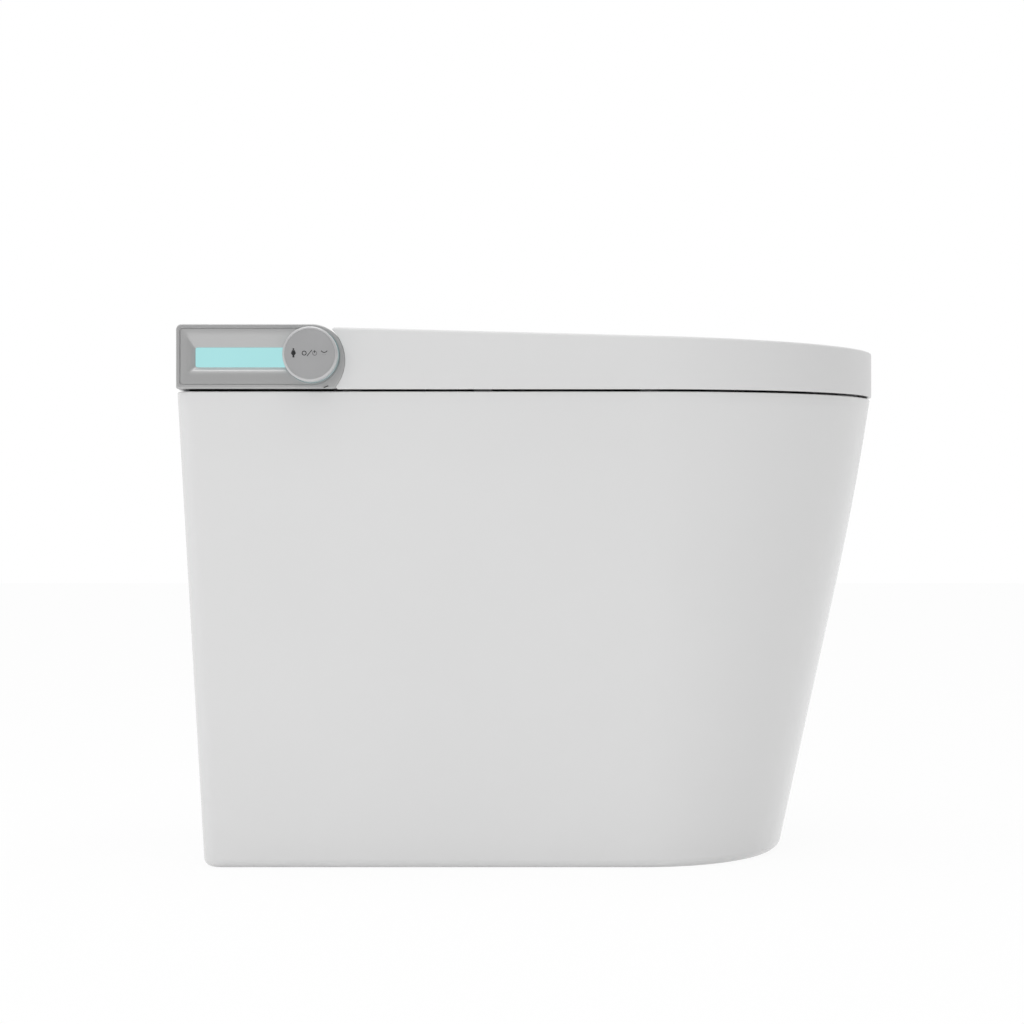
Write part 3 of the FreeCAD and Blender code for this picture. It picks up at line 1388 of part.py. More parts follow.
def make_dryer():
    y_span, z_span = duct_spans()
    wall = size("duct_wall")
    centre = scroll_centre()
    radius = size("scroll_radius")
    inner_y = (y_span[0] + wall, y_span[1] - wall)
    inner_z = (z_span[0] + wall, z_span[1] - wall)
    duct_start = size("scroll_x") + radius
    scroll = fuse(
        round_bar("y", centre, y_span, radius),
        box((size("scroll_x"), duct_start), y_span, z_span),
        box((size("scroll_x") - 14, size("scroll_x") + 14), y_span, (scroll_floor() - 2, scroll_floor() + 5)),
    )
    scroll = cut(
        scroll,
        round_bar("y", centre, inner_y, radius - wall),
        box((size("scroll_x"), duct_start + 1), inner_y, inner_z),
        round_bar("y", centre, (y_span[0] - 1, y_span[0] + wall + 1), 17),
        round_bar("y", centre, (y_span[1] - wall - 1, y_span[1] + 1), 4),
    )
    keep("blower_housing", scroll)
    flap_x = size("shroud_front") - size("shroud_thickness") - 1
    duct = cut(
        box((duct_start, flap_x), y_span, z_span),
        box((duct_start - 1, flap_x + 1), inner_y, inner_z),
    )
    pivot = (flap_x + 2.8, z_span[1] + 0.4)
    ears = [
        fuse(
            box((flap_x - 4, pivot[0]), span, (z_span[1] - 3, z_span[1] + 3)),
            round_bar("y", pivot, span, 2.6),
        )
        for span in ((y_span[0], y_span[0] + 1.6), (y_span[1] - 1.6, y_span[1]))
    ]
    pin = round_bar("y", pivot, y_span, 1.2)
    keep("dryer_duct", fuse(duct, *ears, pin))
    leaf_span = (y_span[0] + 2, y_span[1] - 2)
    leaf = fuse(
        box((pivot[0] - 1, pivot[0] + 1), leaf_span, (z_span[0] + 0.5, pivot[1])),
        round_bar("y", pivot, leaf_span, 2.4),
    )
    keep("dryer_flap", cut(leaf, round_bar("y", pivot, (leaf_span[0] - 1, leaf_span[1] + 1), 1.2 + 0.05)))
    wheel = new_body("blower_wheel")
    wheel_half = (y_span[1] - y_span[0]) * half - wall - 3
    disc = sketch_on(wheel, "XZ_Plane", -wheel_half)
    wheel_radius = size("blower_wheel_radius")
    draw_circle(disc, 0, 0, wheel_radius)
    pad(wheel, disc, 2)
    hub = sketch_on(wheel, "XZ_Plane", -wheel_half)
    draw_circle(hub, 0, 0, 8)
    pad(wheel, hub, wheel_half)
    blade = sketch_on(wheel, "XZ_Plane", -wheel_half)
    draw_polygon(blade, [
        (wheel_radius - 12, 0), (wheel_radius - 1, 3.2), (wheel_radius - 1, 4.8), (wheel_radius - 12, 1.6),
    ])
    single = pad(wheel, blade, wheel_half * 2)
    polar_pattern(wheel, single, disc, size("blower_blades"))
    place(wheel, centre[0], size("duct_middle_y"), centre[1])
    shaft_end = y_span[1] + 10
    shaft = round_bar("y", centre, (size("duct_middle_y") - 2, shaft_end), fan_shaft_radius)
    keep("blower_wheel", fuse(wheel, shaft))
    motor = cut(
        round_bar("y", centre, (y_span[1], y_span[1] + 26), 19),
        round_bar("y", centre, (y_span[1] - 1, shaft_end + 0.5), fan_shaft_radius + size("running_gap")),
    )
    keep("blower_motor", motor)


# ---------------------------------------------------------------------------------------------
# Water: inlet, heater, tank, pump and hoses.

def heater_inlet():
    return frame_back + 19, size("inlet_y") - 48


def make_heater():
    block = box(
        (size("tray_back") + 6, size("tray_back") + 72), (-frame_half + 12, -frame_half + 100),
        (tray_top, tray_top + 38),
    )
    keep("water_heater", rounded(block, 3, lambda edge: edge.BoundBox.ZLength > 30))
    slope = math.radians(size("nozzle_slope").value)
    x = size("tray_back") + 45
    z = nozzle_tip_z - (x - size("nozzle_tip_x")) * math.tan(slope)
    keep("wash_hose", round_bar("y", (x, z), (-frame_half + 100, -size("nozzle_housing_size") * half), 4))


def make_inlet():
    back = frame_back + size("frame_plate")
    y, z = size("inlet_y"), size("inlet_height")
    collar = frame_back - 4
    body = fuse(
        box((back, back + 30), (y - 24, y + 24), (shelf_top, z + 22)),
        round_bar("z", (back + 15, y), (z + 22, z + 50), 13),
        round_bar("x", (y, z), (frame_back, back), size("inlet_thread_radius") - 0.5),
        round_bar("x", (y, z), (collar, frame_back), size("inlet_thread_radius") + 4.5),
        round_bar("x", (y, z), (collar - size("inlet_thread_length"), collar), size("inlet_thread_radius")),
        round_bar("x", (y, z), (back + 29, back + 30 + 8), 6),
    )
    bore = round_bar("x", (y, z), (back - 40, back + 12), size("inlet_thread_radius") - 3)
    keep("inlet_valve", cut(body, bore))
    hose_x, hose_y = heater_inlet()
    points = [(hose_x, y - 24, z), (hose_x, hose_y, z), (hose_x, hose_y, tray_top)]
    keep("inlet_hose", pipe(points, [18], size("inlet_hose_radius")))


def tank_spans():
    x_span = (frame_back + size("frame_plate") + 38, frame_front - 1)
    y_span = (-frame_inner + 3, size("pump_y") - size("pump_radius") - 13)
    return x_span, y_span, (shelf_top, shelf_top + size("tank_height"))


def make_tank():
    x_span, y_span, z_span = tank_spans()
    wall = size("tank_wall")
    outer = box(x_span, y_span, z_span)
    outer = rounded(outer, 12, lambda edge: edge.BoundBox.ZLength > 100)
    inner = box(
        (x_span[0] + wall, x_span[1] - wall),
        (y_span[0] + wall, y_span[1] - wall),
        (z_span[0] + wall, z_span[1] - wall),
    )
    inner = rounded(inner, 12 - wall, lambda edge: edge.BoundBox.ZLength > 100)
    port_z = shelf_top + 24
    port = round_bar("y", (size("pump_x"), port_z), (y_span[1] - wall - 1, y_span[1] + 1), 9)
    vent = round_bar("z", (x_span[0] + 30, y_span[0] + 40), (z_span[1] - wall - 1, z_span[1] + 1), 4)
    fill = round_bar("x", (size("inlet_y"), size("inlet_height")), (x_span[0] - 1, x_span[0] + wall + 1), 4)
    keep("flush_tank", cut(outer, inner, port, vent, fill))


def make_pump():
    x, y = size("pump_x"), size("pump_y")
    radius = size("pump_radius")
    wall = as_size(3)
    port_z = shelf_top + 24
    top = shelf_top + 44
    outlet_x = x + radius
    housing = fuse(
        round_bar("z", (x, y), (shelf_top, top), radius),
        round_bar("y", (x, port_z), (y - radius - 13, y), 12),
        round_bar("x", (y, port_z), (x, outlet_x + 8), size("flush_hose_radius")),
    )
    housing = cut(
        housing,
        round_bar("z", (x, y), (shelf_top + wall, top - wall), radius - wall),
        round_bar("y", (x, port_z), (y - radius - 14, y), 9),
        round_bar("x", (y, port_z), (x, outlet_x + 9), size("flush_hose_radius") - size("flush_hose_wall")),
        round_bar("z", (x, y), (top - wall - 1, top + 1), 4),
    )
    keep("flush_pump", housing)
    wheel = new_body("pump_wheel")
    disc = sketch_on(wheel, "XY_Plane")
    draw_circle(disc, 0, 0, radius - 6)
    pad(wheel, disc, 3)
    vane = sketch_on(wheel, "XY_Plane")
    draw_polygon(vane, [(6, -1), (radius - 7, 3), (radius - 7, 5), (6, 1)])
    single = pad(wheel, vane, 20)
    polar_pattern(wheel, single, disc, size("pump_vanes"))
    place(wheel, x, y, shelf_top + 10)
    shaft = round_bar("z", (x, y), (shelf_top + 9, top + 12), fan_shaft_radius)
    keep("pump_wheel", fuse(wheel, shaft))
    motor = cut(
        round_bar("z", (x, y), (top, top + 62), 26),
        round_bar("z", (x, y), (top - 1, top + 12.5), fan_shaft_radius + size("running_gap")),
    )
    keep("pump_motor", motor)
    hose_radius = size("flush_hose_radius")
    jet_x = as_size(-48)
    rise_x = frame_front + 24
    points = [
        (outlet_x + 8, y, port_z),
        (rise_x, y, port_z),
        (rise_x, size("rim_jet_y"), rim_jet_z),
        (jet_x, size("rim_jet_y"), rim_jet_z),
    ]
    outside = pipe(points, [22, 24], hose_radius)
    inside = pipe(points, [22, 24], hose_radius - size("flush_hose_wall"))
    keep("flush_hose", cut(outside, inside))
    jet = cut(
        round_bar("x", (size("rim_jet_y"), rim_jet_z), (jet_x, 2), hose_radius),
        round_bar("x", (size("rim_jet_y"), rim_jet_z), (jet_x - 1, 0), hose_radius - 3),
        box((-12, 1), (size("rim_jet_y") - hose_radius - 1, size("rim_jet_y")),
            (rim_jet_z - 4, rim_jet_z + 4)),
    )
    keep("rim_jet", jet)


# ---------------------------------------------------------------------------------------------
# Electrics.

def make_electrics():
    low_z = tray_top + 6
    x_span = (size("tray_back") + 7, size("tray_back") + 78)
    y_span = (as_size(38), as_size(122))
    board = box(x_span, y_span, (low_z, low_z + 1.6))
    parts = [board]
    for x, y in ((8, 8), (63, 8), (8, 76), (63, 76)):
        parts.append(round_bar("z", (x_span[0] + x, y_span[0] + y), (tray_top, low_z), 3))
    chips = [(16, 20, 16, 16, 3), (42, 16, 14, 22, 12), (16, 50, 30, 12, 9), (54, 52, 10, 16, 16)]
    for x, y, length, width, height in chips:
        parts.append(box(
            (x_span[0] + x, x_span[0] + x + length), (y_span[0] + y, y_span[0] + y + width),
            (low_z + 1.6, low_z + 1.6 + height),
        ))
    keep("control_board", fuse(*parts))
    supply_top = scroll_floor() - 37
    supply = box(
        (frame_back + 8, frame_back + 96), (frame_inner - 34, frame_inner), (supply_top - 106, supply_top)
    )
    keep("power_supply", rounded(supply, 3, lambda edge: edge.BoundBox.ZLength > 100))
    back = frame_back
    y, z = size("gland_y"), size("inlet_height")
    radius = size("gland_radius")
    gland = fuse(
        round_bar("x", (y, z), (back - 6, back), radius + 2),
        round_bar("x", (y, z), (back - 15, back - 6), radius),
        round_bar("x", (y, z), (back, back + 12), radius - 1.52),
        round_bar("x", (y, z), (back + size("frame_plate"), back + 8), radius + 2),
    )
    keep("cable_gland", cut(gland, round_bar("x", (y, z), (back - 16, back + 13), 4)))
    sensor = round_bar("x", (0, nose_z), (nose_x + 22, nose_x + size("unit_nose_radius") - 0.4), 6)
    keep("user_sensor", sensor)


# ---------------------------------------------------------------------------------------------

make_ceramic()
make_outlet_seal()
make_tray()
make_gasket()
make_tray_fixings()
make_frame()
make_rear_cover()
make_side_caps()
make_display()
make_knob()
make_hinge()
make_lid()
make_lid_bumpers()
make_seat()
make_wand()
make_rack()
make_pinion()
make_nozzle_housing()
make_shroud()
make_dryer()
make_heater()
make_inlet()
make_tank()
make_pump()
make_electrics()

doc.recompute()
problems = [thing.Name for thing in doc.Objects if {"Invalid", "Error"} & set(thing.State)]
problems += [name for name, piece in nodes.items() if piece.Shape.isNull() or not piece.Shape.isValid()]
if problems:
    raise RuntimeError("these did not build: " + ", ".join(problems))

os.makedirs("parts", exist_ok=True)
for name, piece in nodes.items():
    piece.Shape.exportStep(f"parts/{name}.step")
print(len(nodes), "pieces written")
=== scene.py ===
"""Floor-standing electronic toilet with a heated seat, dressed for its portrait.

Pieces are drawn in millimetres, in the frame of the solids: +X to the front, +Z up, the control
knob at -Y. They are turned into metres when they are finished.
"""
import bmesh
import bpy
import json
import math
from mathutils import Matrix, Vector

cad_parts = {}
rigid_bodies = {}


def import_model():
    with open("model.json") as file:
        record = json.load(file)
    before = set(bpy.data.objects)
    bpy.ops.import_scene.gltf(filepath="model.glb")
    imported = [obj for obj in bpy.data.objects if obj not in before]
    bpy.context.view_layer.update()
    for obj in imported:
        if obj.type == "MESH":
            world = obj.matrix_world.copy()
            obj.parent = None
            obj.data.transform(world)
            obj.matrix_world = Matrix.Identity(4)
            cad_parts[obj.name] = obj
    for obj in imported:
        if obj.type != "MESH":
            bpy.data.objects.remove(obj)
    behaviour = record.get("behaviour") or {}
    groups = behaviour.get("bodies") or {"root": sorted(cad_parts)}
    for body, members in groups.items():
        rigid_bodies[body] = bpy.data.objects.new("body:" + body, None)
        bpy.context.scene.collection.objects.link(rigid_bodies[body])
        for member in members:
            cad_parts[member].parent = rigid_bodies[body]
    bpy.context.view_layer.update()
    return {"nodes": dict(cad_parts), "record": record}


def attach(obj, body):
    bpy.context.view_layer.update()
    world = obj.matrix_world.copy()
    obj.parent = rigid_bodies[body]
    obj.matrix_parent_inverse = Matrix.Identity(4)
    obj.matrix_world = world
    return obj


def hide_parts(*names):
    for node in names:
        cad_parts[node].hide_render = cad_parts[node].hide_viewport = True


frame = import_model()
bpy.context.scene.view_settings.view_transform = "Standard"

# ---------------------------------------------------------------------------------------------
# Sizes of the visible forms, in millimetres.

CHINA_TOP = 433.0
DECK_FLOOR = 417.0
CHINA_WALL = 10.0
FOOT_ROUND = 8.0
RIM_ROUND = 1.6
UNIT_FLOOR = 435.2
UNIT_TOP = 493.7
UNIT_BACK = -299.4
UNIT_HALF = 196.0
CAP_INNER = 174.0
NOSE_X, NOSE_Z, NOSE_RADIUS = -177.0, 463.9, 29.8
FOOT_X, FOOT_Z, FOOT_RADIUS = -185.0, 461.0, 38.31
HINGE_X, HINGE_Z = -189.5, 465.9
KNOB_X, KNOB_Z, KNOB_RADIUS = -177.0, 465.5, 24.8
KNOB_FACE_Y = -216.0

NOSE_STEPS = 48
SIDE_STEPS = 14
CORNER_STEPS = 20
BACK_STEPS = 3


# ---------------------------------------------------------------------------------------------
# Finishes.

def new_finish(name):
    """An empty node material and its principled shader."""
    material = bpy.data.materials.new(name)
    material.use_nodes = True
    nodes = material.node_tree.nodes
    shader = nodes["Principled BSDF"]
    return material, nodes, material.node_tree.links, shader


def mottle(nodes, links, scale, detail=4.0, stretch=(1, 1, 1)):
    """Noise over the piece's own coordinates, which are in metres."""
    place = nodes.new("ShaderNodeTexCoord")
    turn = nodes.new("ShaderNodeMapping")
    turn.inputs["Scale"].default_value = stretch
    noise = nodes.new("ShaderNodeTexNoise")
    noise.inputs["Scale"].default_value = scale
    noise.inputs["Detail"].default_value = detail
    links.new(place.outputs["Object"], turn.inputs["Vector"])
    links.new(turn.outputs["Vector"], noise.inputs["Vector"])
    return noise


def shade_between(nodes, links, noise, shader, dark, light, socket="Base Color"):
    """Colours a socket between two close tones, led by the noise."""
    ramp = nodes.new("ShaderNodeValToRGB")
    ramp.color_ramp.elements[0].position = 0.35
    ramp.color_ramp.elements[1].position = 0.65
    ramp.color_ramp.elements[0].color = (*dark, 1)
    ramp.color_ramp.elements[1].color = (*light, 1)
    links.new(noise.outputs["Fac"], ramp.inputs["Fac"])
    links.new(ramp.outputs["Color"], shader.inputs[socket])


def vary_roughness(nodes, links, noise, shader, low, high):
    spread = nodes.new("ShaderNodeMapRange")
    spread.inputs["To Min"].default_value = low
    spread.inputs["To Max"].default_value = high
    links.new(noise.outputs["Fac"], spread.inputs["Value"])
    links.new(spread.outputs["Result"], shader.inputs["Roughness"])


def grain(nodes, links, noise, shader, strength, distance):
    """A fine relief, with its height given in metres."""
    bump = nodes.new("ShaderNodeBump")
    bump.inputs["Strength"].default_value = strength
    bump.inputs["Distance"].default_value = distance
    links.new(noise.outputs["Fac"], bump.inputs["Height"])
    links.new(bump.outputs["Normal"], shader.inputs["Normal"])


def soft_finish(name, tone, spread=0.012, rough=(0.3, 0.4), patch=9.0, fine=0.0, fine_scale=900.0,
                metallic=0.0, coat=0.0, stretch=(1, 1, 1), specular=0.5):
    """A finish whose tone and gloss vary a little from place to place."""
    material, nodes, links, shader = new_finish(name)
    dark = tuple(max(0.0, part * (1 - spread)) for part in tone)
    light = tuple(min(1.0, part * (1 + spread)) for part in tone)
    broad = mottle(nodes, links, patch, 3.0)
    shade_between(nodes, links, broad, shader, dark, light)
    small = mottle(nodes, links, fine_scale, 5.0, stretch)
    vary_roughness(nodes, links, small, shader, *rough)
    if fine:
        grain(nodes, links, small, shader, fine, 0.0002)
    shader.inputs["Metallic"].default_value = metallic
    shader.inputs["Coat Weight"].default_value = coat
    shader.inputs["Coat Roughness"].default_value = 0.06
    shader.inputs["Specular IOR Level"].default_value = specular
    return material


def lit_finish(name, tone, strength, unlit, spread=0.02):
    """Clear plastic that is lit from behind, with the tone that it has when unlit."""
    material, nodes, links, shader = new_finish(name)
    broad = mottle(nodes, links, 25.0, 2.0)
    dark = tuple(part * (1 - spread) for part in tone)
    shade_between(nodes, links, broad, shader, dark, tone, "Emission Color")
    shade_between(nodes, links, broad, shader, tuple(part * (1 - spread) for part in unlit), unlit)
    shader.inputs["Emission Strength"].default_value = strength
    shader.inputs["Roughness"].default_value = 0.25
    return material


FINISHES = {
    "china": soft_finish("glazed_china", (0.77, 0.77, 0.77), 0.006, (0.20, 0.27), 5.0, 0.02, 220.0, coat=0.3),
    "white_shell": soft_finish("lid_white", (0.76, 0.76, 0.76), 0.006, (0.28, 0.36), 6.0, 0.03, 1500.0),
    "cap_grey": soft_finish("cap_grey", (0.52, 0.52, 0.52), 0.008, (0.27, 0.31), 8.0, 0.004, 1500.0,
                            metallic=0.6),
    "seat_shell": soft_finish("seat_white", (0.78, 0.78, 0.78), 0.006, (0.30, 0.40), 6.0, 0.03, 1500.0),
    "inner_plastic": soft_finish("moulded_grey", (0.42, 0.44, 0.45), 0.05, (0.45, 0.60), 30.0, 0.15, 1800.0),
    "dark_plastic": soft_finish("moulded_black", (0.03, 0.03, 0.034), 0.15, (0.40, 0.55), 30.0, 0.2, 1800.0),
    "bumper_rubber": soft_finish("bumper_grey", (0.12, 0.12, 0.125), 0.08, (0.6, 0.75), 60.0, 0.2, 2500.0),
    "seal_rubber": soft_finish("seal_black", (0.02, 0.02, 0.021), 0.15, (0.6, 0.8), 60.0, 0.25, 2500.0),
    "knob_metal": soft_finish("knob_silver", (0.62, 0.62, 0.625), 0.02, (0.30, 0.38), 40.0, 0.05, 1500.0,
                              metallic=0.55),
    "knob_plate": soft_finish("knob_face_grey", (0.40, 0.40, 0.405), 0.02, (0.40, 0.48), 40.0, 0.05, 1500.0,
                              metallic=0.2),
    "window_glass": lit_finish("display_cyan", (0.397, 0.753, 0.768), 0.93, (0.03, 0.05, 0.05)),
    "ring_light": lit_finish("ring_cyan", (0.20, 0.55, 0.60), 0.35, (0.12, 0.17, 0.18)),
    "knob_glow": lit_finish("knob_band_teal", (0.10, 0.36, 0.39), 0.12, (0.68, 0.70, 0.70)),
    "knob_print": soft_finish("print_black", (0.015, 0.015, 0.016), 0.2, (0.5, 0.6), 300.0, 0.1, 2500.0),
    "knob_print_grey": soft_finish("print_grey", (0.17, 0.17, 0.175), 0.1, (0.5, 0.6), 300.0, 0.1, 2500.0),
    "circuit": soft_finish("board_green", (0.02, 0.13, 0.06), 0.25, (0.35, 0.5), 160.0, 0.3, 900.0),
    "steel": soft_finish("bright_steel", (0.56, 0.56, 0.57), 0.03, (0.22, 0.34), 60.0, 0.05, 700.0,
                         metallic=1.0),
    "sheet_steel": soft_finish("galvanised_sheet", (0.50, 0.51, 0.53), 0.10, (0.32, 0.50), 70.0, 0.08, 300.0,
                               metallic=1.0),
    "motor_steel": soft_finish("motor_grey", (0.10, 0.105, 0.11), 0.06, (0.35, 0.45), 60.0, 0.08, 900.0,
                               metallic=0.4),
    "brass": soft_finish("turned_brass", (0.62, 0.42, 0.16), 0.05, (0.25, 0.36), 60.0, 0.06, 900.0,
                         metallic=1.0),
    "foil": soft_finish("heater_foil", (0.62, 0.42, 0.26), 0.05, (0.35, 0.45), 60.0, 0.1, 500.0, metallic=0.8),
    "hose": soft_finish("hose_grey", (0.50, 0.52, 0.53), 0.03, (0.40, 0.55), 60.0, 0.1, 900.0),
    "wand_white": soft_finish("wand_white", (0.72, 0.73, 0.735), 0.01, (0.22, 0.30), 30.0, 0.03, 900.0,
                              coat=0.2),
}

for subpart in frame["record"]["subparts"]:
    solid = frame["nodes"][subpart["node"]]
    solid.data.materials.clear()
    solid.data.materials.append(FINISHES[subpart["material_slot"]])


# ---------------------------------------------------------------------------------------------
# Floor, light and camera.

def any_ray(nodes, links, kinds):
    """One for the named kinds of ray, and zero for the rest."""
    seen = nodes.new("ShaderNodeLightPath")
    total = seen.outputs[kinds[0]]
    for kind in kinds[1:]:
        either = nodes.new("ShaderNodeMath")
        either.operation = "MAXIMUM"
        links.new(total, either.inputs[0])
        links.new(seen.outputs[kind], either.inputs[1])
        total = either.outputs["Value"]
    return total


def make_floor():
    """A white floor that keeps a faint shadow of the toilet."""
    bm = bmesh.new()
    bmesh.ops.create_grid(bm, x_segments=1, y_segments=1, size=9)
    mesh = bpy.data.meshes.new("floor")
    bm.to_mesh(mesh)
    bm.free()
    floor = bpy.data.objects.new("floor", mesh)
    bpy.context.scene.collection.objects.link(floor)
    material, nodes, links, shader = new_finish("floor_white")
    shader.inputs["Roughness"].default_value = 1.0
    shader.inputs["Specular IOR Level"].default_value = 0.0
    broad = mottle(nodes, links, 0.7, 2.0)
    shade_between(nodes, links, broad, shader, (0.93, 0.93, 0.93), (0.94, 0.94, 0.94))
    glow = nodes.new("ShaderNodeEmission")
    blend = nodes.new("ShaderNodeMixShader")
    share = nodes.new("ShaderNodeMath")
    share.operation = "MULTIPLY"
    share.inputs[1].default_value = 0.92
    links.new(any_ray(nodes, links, ("Is Camera Ray", "Is Glossy Ray", "Is Transmission Ray")), share.inputs[0])
    links.new(share.outputs["Value"], blend.inputs["Fac"])
    links.new(shader.outputs["BSDF"], blend.inputs[1])
    links.new(glow.outputs["Emission"], blend.inputs[2])
    links.new(blend.outputs["Shader"], nodes["Material Output"].inputs["Surface"])
    mesh.materials.append(material)


def share_along(nodes, links, place, direction, start, end):
    """Grows from zero to one with how far a ray points in a direction."""
    facing = nodes.new("ShaderNodeVectorMath")
    facing.operation = "DOT_PRODUCT"
    facing.inputs[1].default_value = Vector(direction).normalized()
    share = nodes.new("ShaderNodeMapRange")
    share.interpolation_type = "SMOOTHSTEP"
    share.inputs["From Min"].default_value = start
    share.inputs["From Max"].default_value = end
    links.new(place.outputs["Generated"], facing.inputs[0])
    links.new(facing.outputs["Value"], share.inputs["Value"])
    return share.outputs["Result"]


def make_room():
    """White all round, and dimmer on the knob's side and towards the front, away from the lamps."""
    world = bpy.data.worlds.new("studio_white")
    bpy.context.scene.world = world
    world.use_nodes = True
    nodes, links = world.node_tree.nodes, world.node_tree.links
    place = nodes.new("ShaderNodeTexCoord")
    near_side = share_along(nodes, links, place, (0.35, -0.94, 0.0), -0.3, 0.5)
    low_down = share_along(nodes, links, place, (0.0, 0.0, -1.0), -0.8, -0.2)
    both = nodes.new("ShaderNodeMath")
    both.operation = "MULTIPLY"
    links.new(near_side, both.inputs[0])
    links.new(low_down, both.inputs[1])
    dim = nodes.new("ShaderNodeMapRange")
    dim.inputs["To Min"].default_value = 0.88
    dim.inputs["To Max"].default_value = 0.39
    links.new(both.outputs["Value"], dim.inputs["Value"])
    room = nodes["Background"]
    room.inputs["Color"].default_value = (1, 1, 1, 1)
    links.new(dim.outputs["Result"], room.inputs["Strength"])
    white = nodes.new("ShaderNodeBackground")
    white.inputs["Color"].default_value = (1, 1, 1, 1)
    blend = nodes.new("ShaderNodeMixShader")
    links.new(any_ray(nodes, links, ("Is Camera Ray", "Is Transmission Ray")), blend.inputs["Fac"])
    links.new(room.outputs["Background"], blend.inputs[1])
    links.new(white.outputs["Background"], blend.inputs[2])
    links.new(blend.outputs["Shader"], nodes["World Output"].inputs["Surface"])


def make_lamp(name, place, aim, size, energy, mirrored):
    lamp_data = bpy.data.lights.new(name, "AREA")
    lamp_data.shape = "DISK"
    lamp_data.size = size
    lamp_data.energy = energy
    lamp = bpy.data.objects.new(name, lamp_data)
    lamp.location = place
    lamp.rotation_euler = (Vector(aim) - lamp.location).to_track_quat("-Z", "Y").to_euler()
    lamp.visible_glossy = mirrored
    bpy.context.scene.collection.objects.link(lamp)


def studio():
    make_floor()
    make_room()
    make_lamp("side_lamp", (-1.2, -3.0, 1.5), (0, 0, 0.2), 2.0, 18.0, False)
    make_lamp("top_lamp", (-0.2, -0.3, 3.0), (0, 0, 0.3), 2.4, 14.0, True)
    camera_data = bpy.data.cameras.new("portrait_camera")
    camera_data.lens = 88.52
    camera_data.sensor_width = 36.0
    camera = bpy.data.objects.new("portrait_camera", camera_data)
    camera.location = (0.004, -2.469, 0.324)
    camera.rotation_euler = (math.radians(90), 0, 0)
    bpy.context.scene.collection.objects.link(camera)
    bpy.context.scene.camera = camera


# ---------------------------------------------------------------------------------------------
# Outlines and other helpers.

def arc(bm, centre, reach, start, turn, steps):
    """Part of an ellipse in the ground plane: a vertex that is spun, stretched and moved."""
    old = set(bm.verts)
    vertex = bm.verts.new((math.cos(math.radians(start)), math.sin(math.radians(start)), 0))
    bmesh.ops.spin(bm, geom=[vertex], cent=(0, 0, 0), axis=(0, 0, 1), dvec=(0, 0, 0),
                   angle=math.radians(turn), steps=steps, use_duplicate=False)
    drawn = [vertex for vertex in bm.verts if vertex not in old]
    bmesh.ops.scale(bm, vec=(reach[0], reach[1], 1), verts=drawn)
    bmesh.ops.translate(bm, vec=(centre[0], centre[1], 0), verts=drawn)


def line(bm, start, end, steps):
    """A straight row of edges in the ground plane."""
    vertex = bm.verts.new((*start, 0))
    step = (Vector((*end, 0)) - vertex.co) / steps
    for _ in range(steps):
        vertex = bmesh.ops.extrude_vert_indiv(bm, verts=[vertex])["verts"][0]
        vertex.co += step


def closed_loop(bm, draw, mirrored=False):
    """Runs draw, joins what it drew end to end, and gives back the closed loop of edges."""
    old_verts, old_edges = set(bm.verts), set(bm.edges)
    draw()
    drawn = [vertex for vertex in bm.verts if vertex not in old_verts]
    bmesh.ops.remove_doubles(bm, verts=drawn, dist=0.002)
    if mirrored:
        half_loop = [vertex for vertex in bm.verts if vertex not in old_verts]
        half_loop += [edge for edge in bm.edges if edge not in old_edges]
        bmesh.ops.mirror(bm, geom=half_loop, matrix=Matrix.Identity(4), merge_dist=0.002, axis="Y")
    return [edge for edge in bm.edges if edge not in old_edges]


def loop_verts(edges):
    return list({vertex for edge in edges for vertex in edge.verts})


def plan_loop(bm, back, nose, front, half_width, corner, tilt=(0.0, 0.0)):
    """A plan outline: elliptical front, straight sides and rounded back corners.

    tilt gives the height of the loop at X = 0 and its rise along X.
    """
    corner_x, corner_y = corner

    def draw():
        arc(bm, (nose, 0), (front - nose, half_width), 0, 90, NOSE_STEPS)
        line(bm, (nose, half_width), (back + corner_x, half_width), SIDE_STEPS)
        arc(bm, (back + corner_x, half_width - corner_y), corner, 90, 90, CORNER_STEPS)
        line(bm, (back, half_width - corner_y), (back, 0), BACK_STEPS)

    edges = closed_loop(bm, draw, mirrored=True)
    lean = Matrix.Identity(4)
    lean[2][0], lean[2][3] = tilt[1], tilt[0]
    bmesh.ops.transform(bm, matrix=lean, verts=loop_verts(edges))
    return edges


def oval_loop(bm, back, front, half_width, height):
    """A plan outline that is very nearly an ellipse, with as many points as the others."""
    middle = (back + front) / 2
    corner = (middle - 6 - back, half_width - 6)
    return plan_loop(bm, back, middle + 6, front, half_width, corner, (height, 0))


def bridge(bm, loops):
    for near, far in zip(loops, loops[1:]):
        bmesh.ops.bridge_loops(bm, edges=near + far)


def cap(bm, edges):
    bmesh.ops.edgeloop_fill(bm, edges=edges)


def lathe(bm, profile, centre, steps=96, ring=False):
    """Turns a profile of (radius, Y) points about a line along Y through centre = (X, Z).

    A ring has a profile that is closed and doesn't reach the line.
    """
    old = set(bm.verts)
    radius, along = profile[0]
    vertex = bm.verts.new((centre[0] + radius, along, centre[1]))
    outline = [vertex]
    for radius, along in profile[1:]:
        vertex = bmesh.ops.extrude_vert_indiv(bm, verts=[vertex])["verts"][0]
        vertex.co = (centre[0] + radius, along, centre[1])
        outline.append(vertex)
    edges = [edge for edge in bm.edges if edge.verts[0] in outline and edge.verts[1] in outline]
    if ring:
        edges.append(bm.edges.new((outline[-1], outline[0])))
    bmesh.ops.spin(bm, geom=outline + edges, cent=(centre[0], 0, centre[1]), axis=(0, 1, 0),
                   dvec=(0, 0, 0), angle=math.tau, steps=steps, use_merge=True, use_duplicate=False)
    turned = [vertex for vertex in bm.verts if vertex not in old]
    bmesh.ops.remove_doubles(bm, verts=turned, dist=0.002)


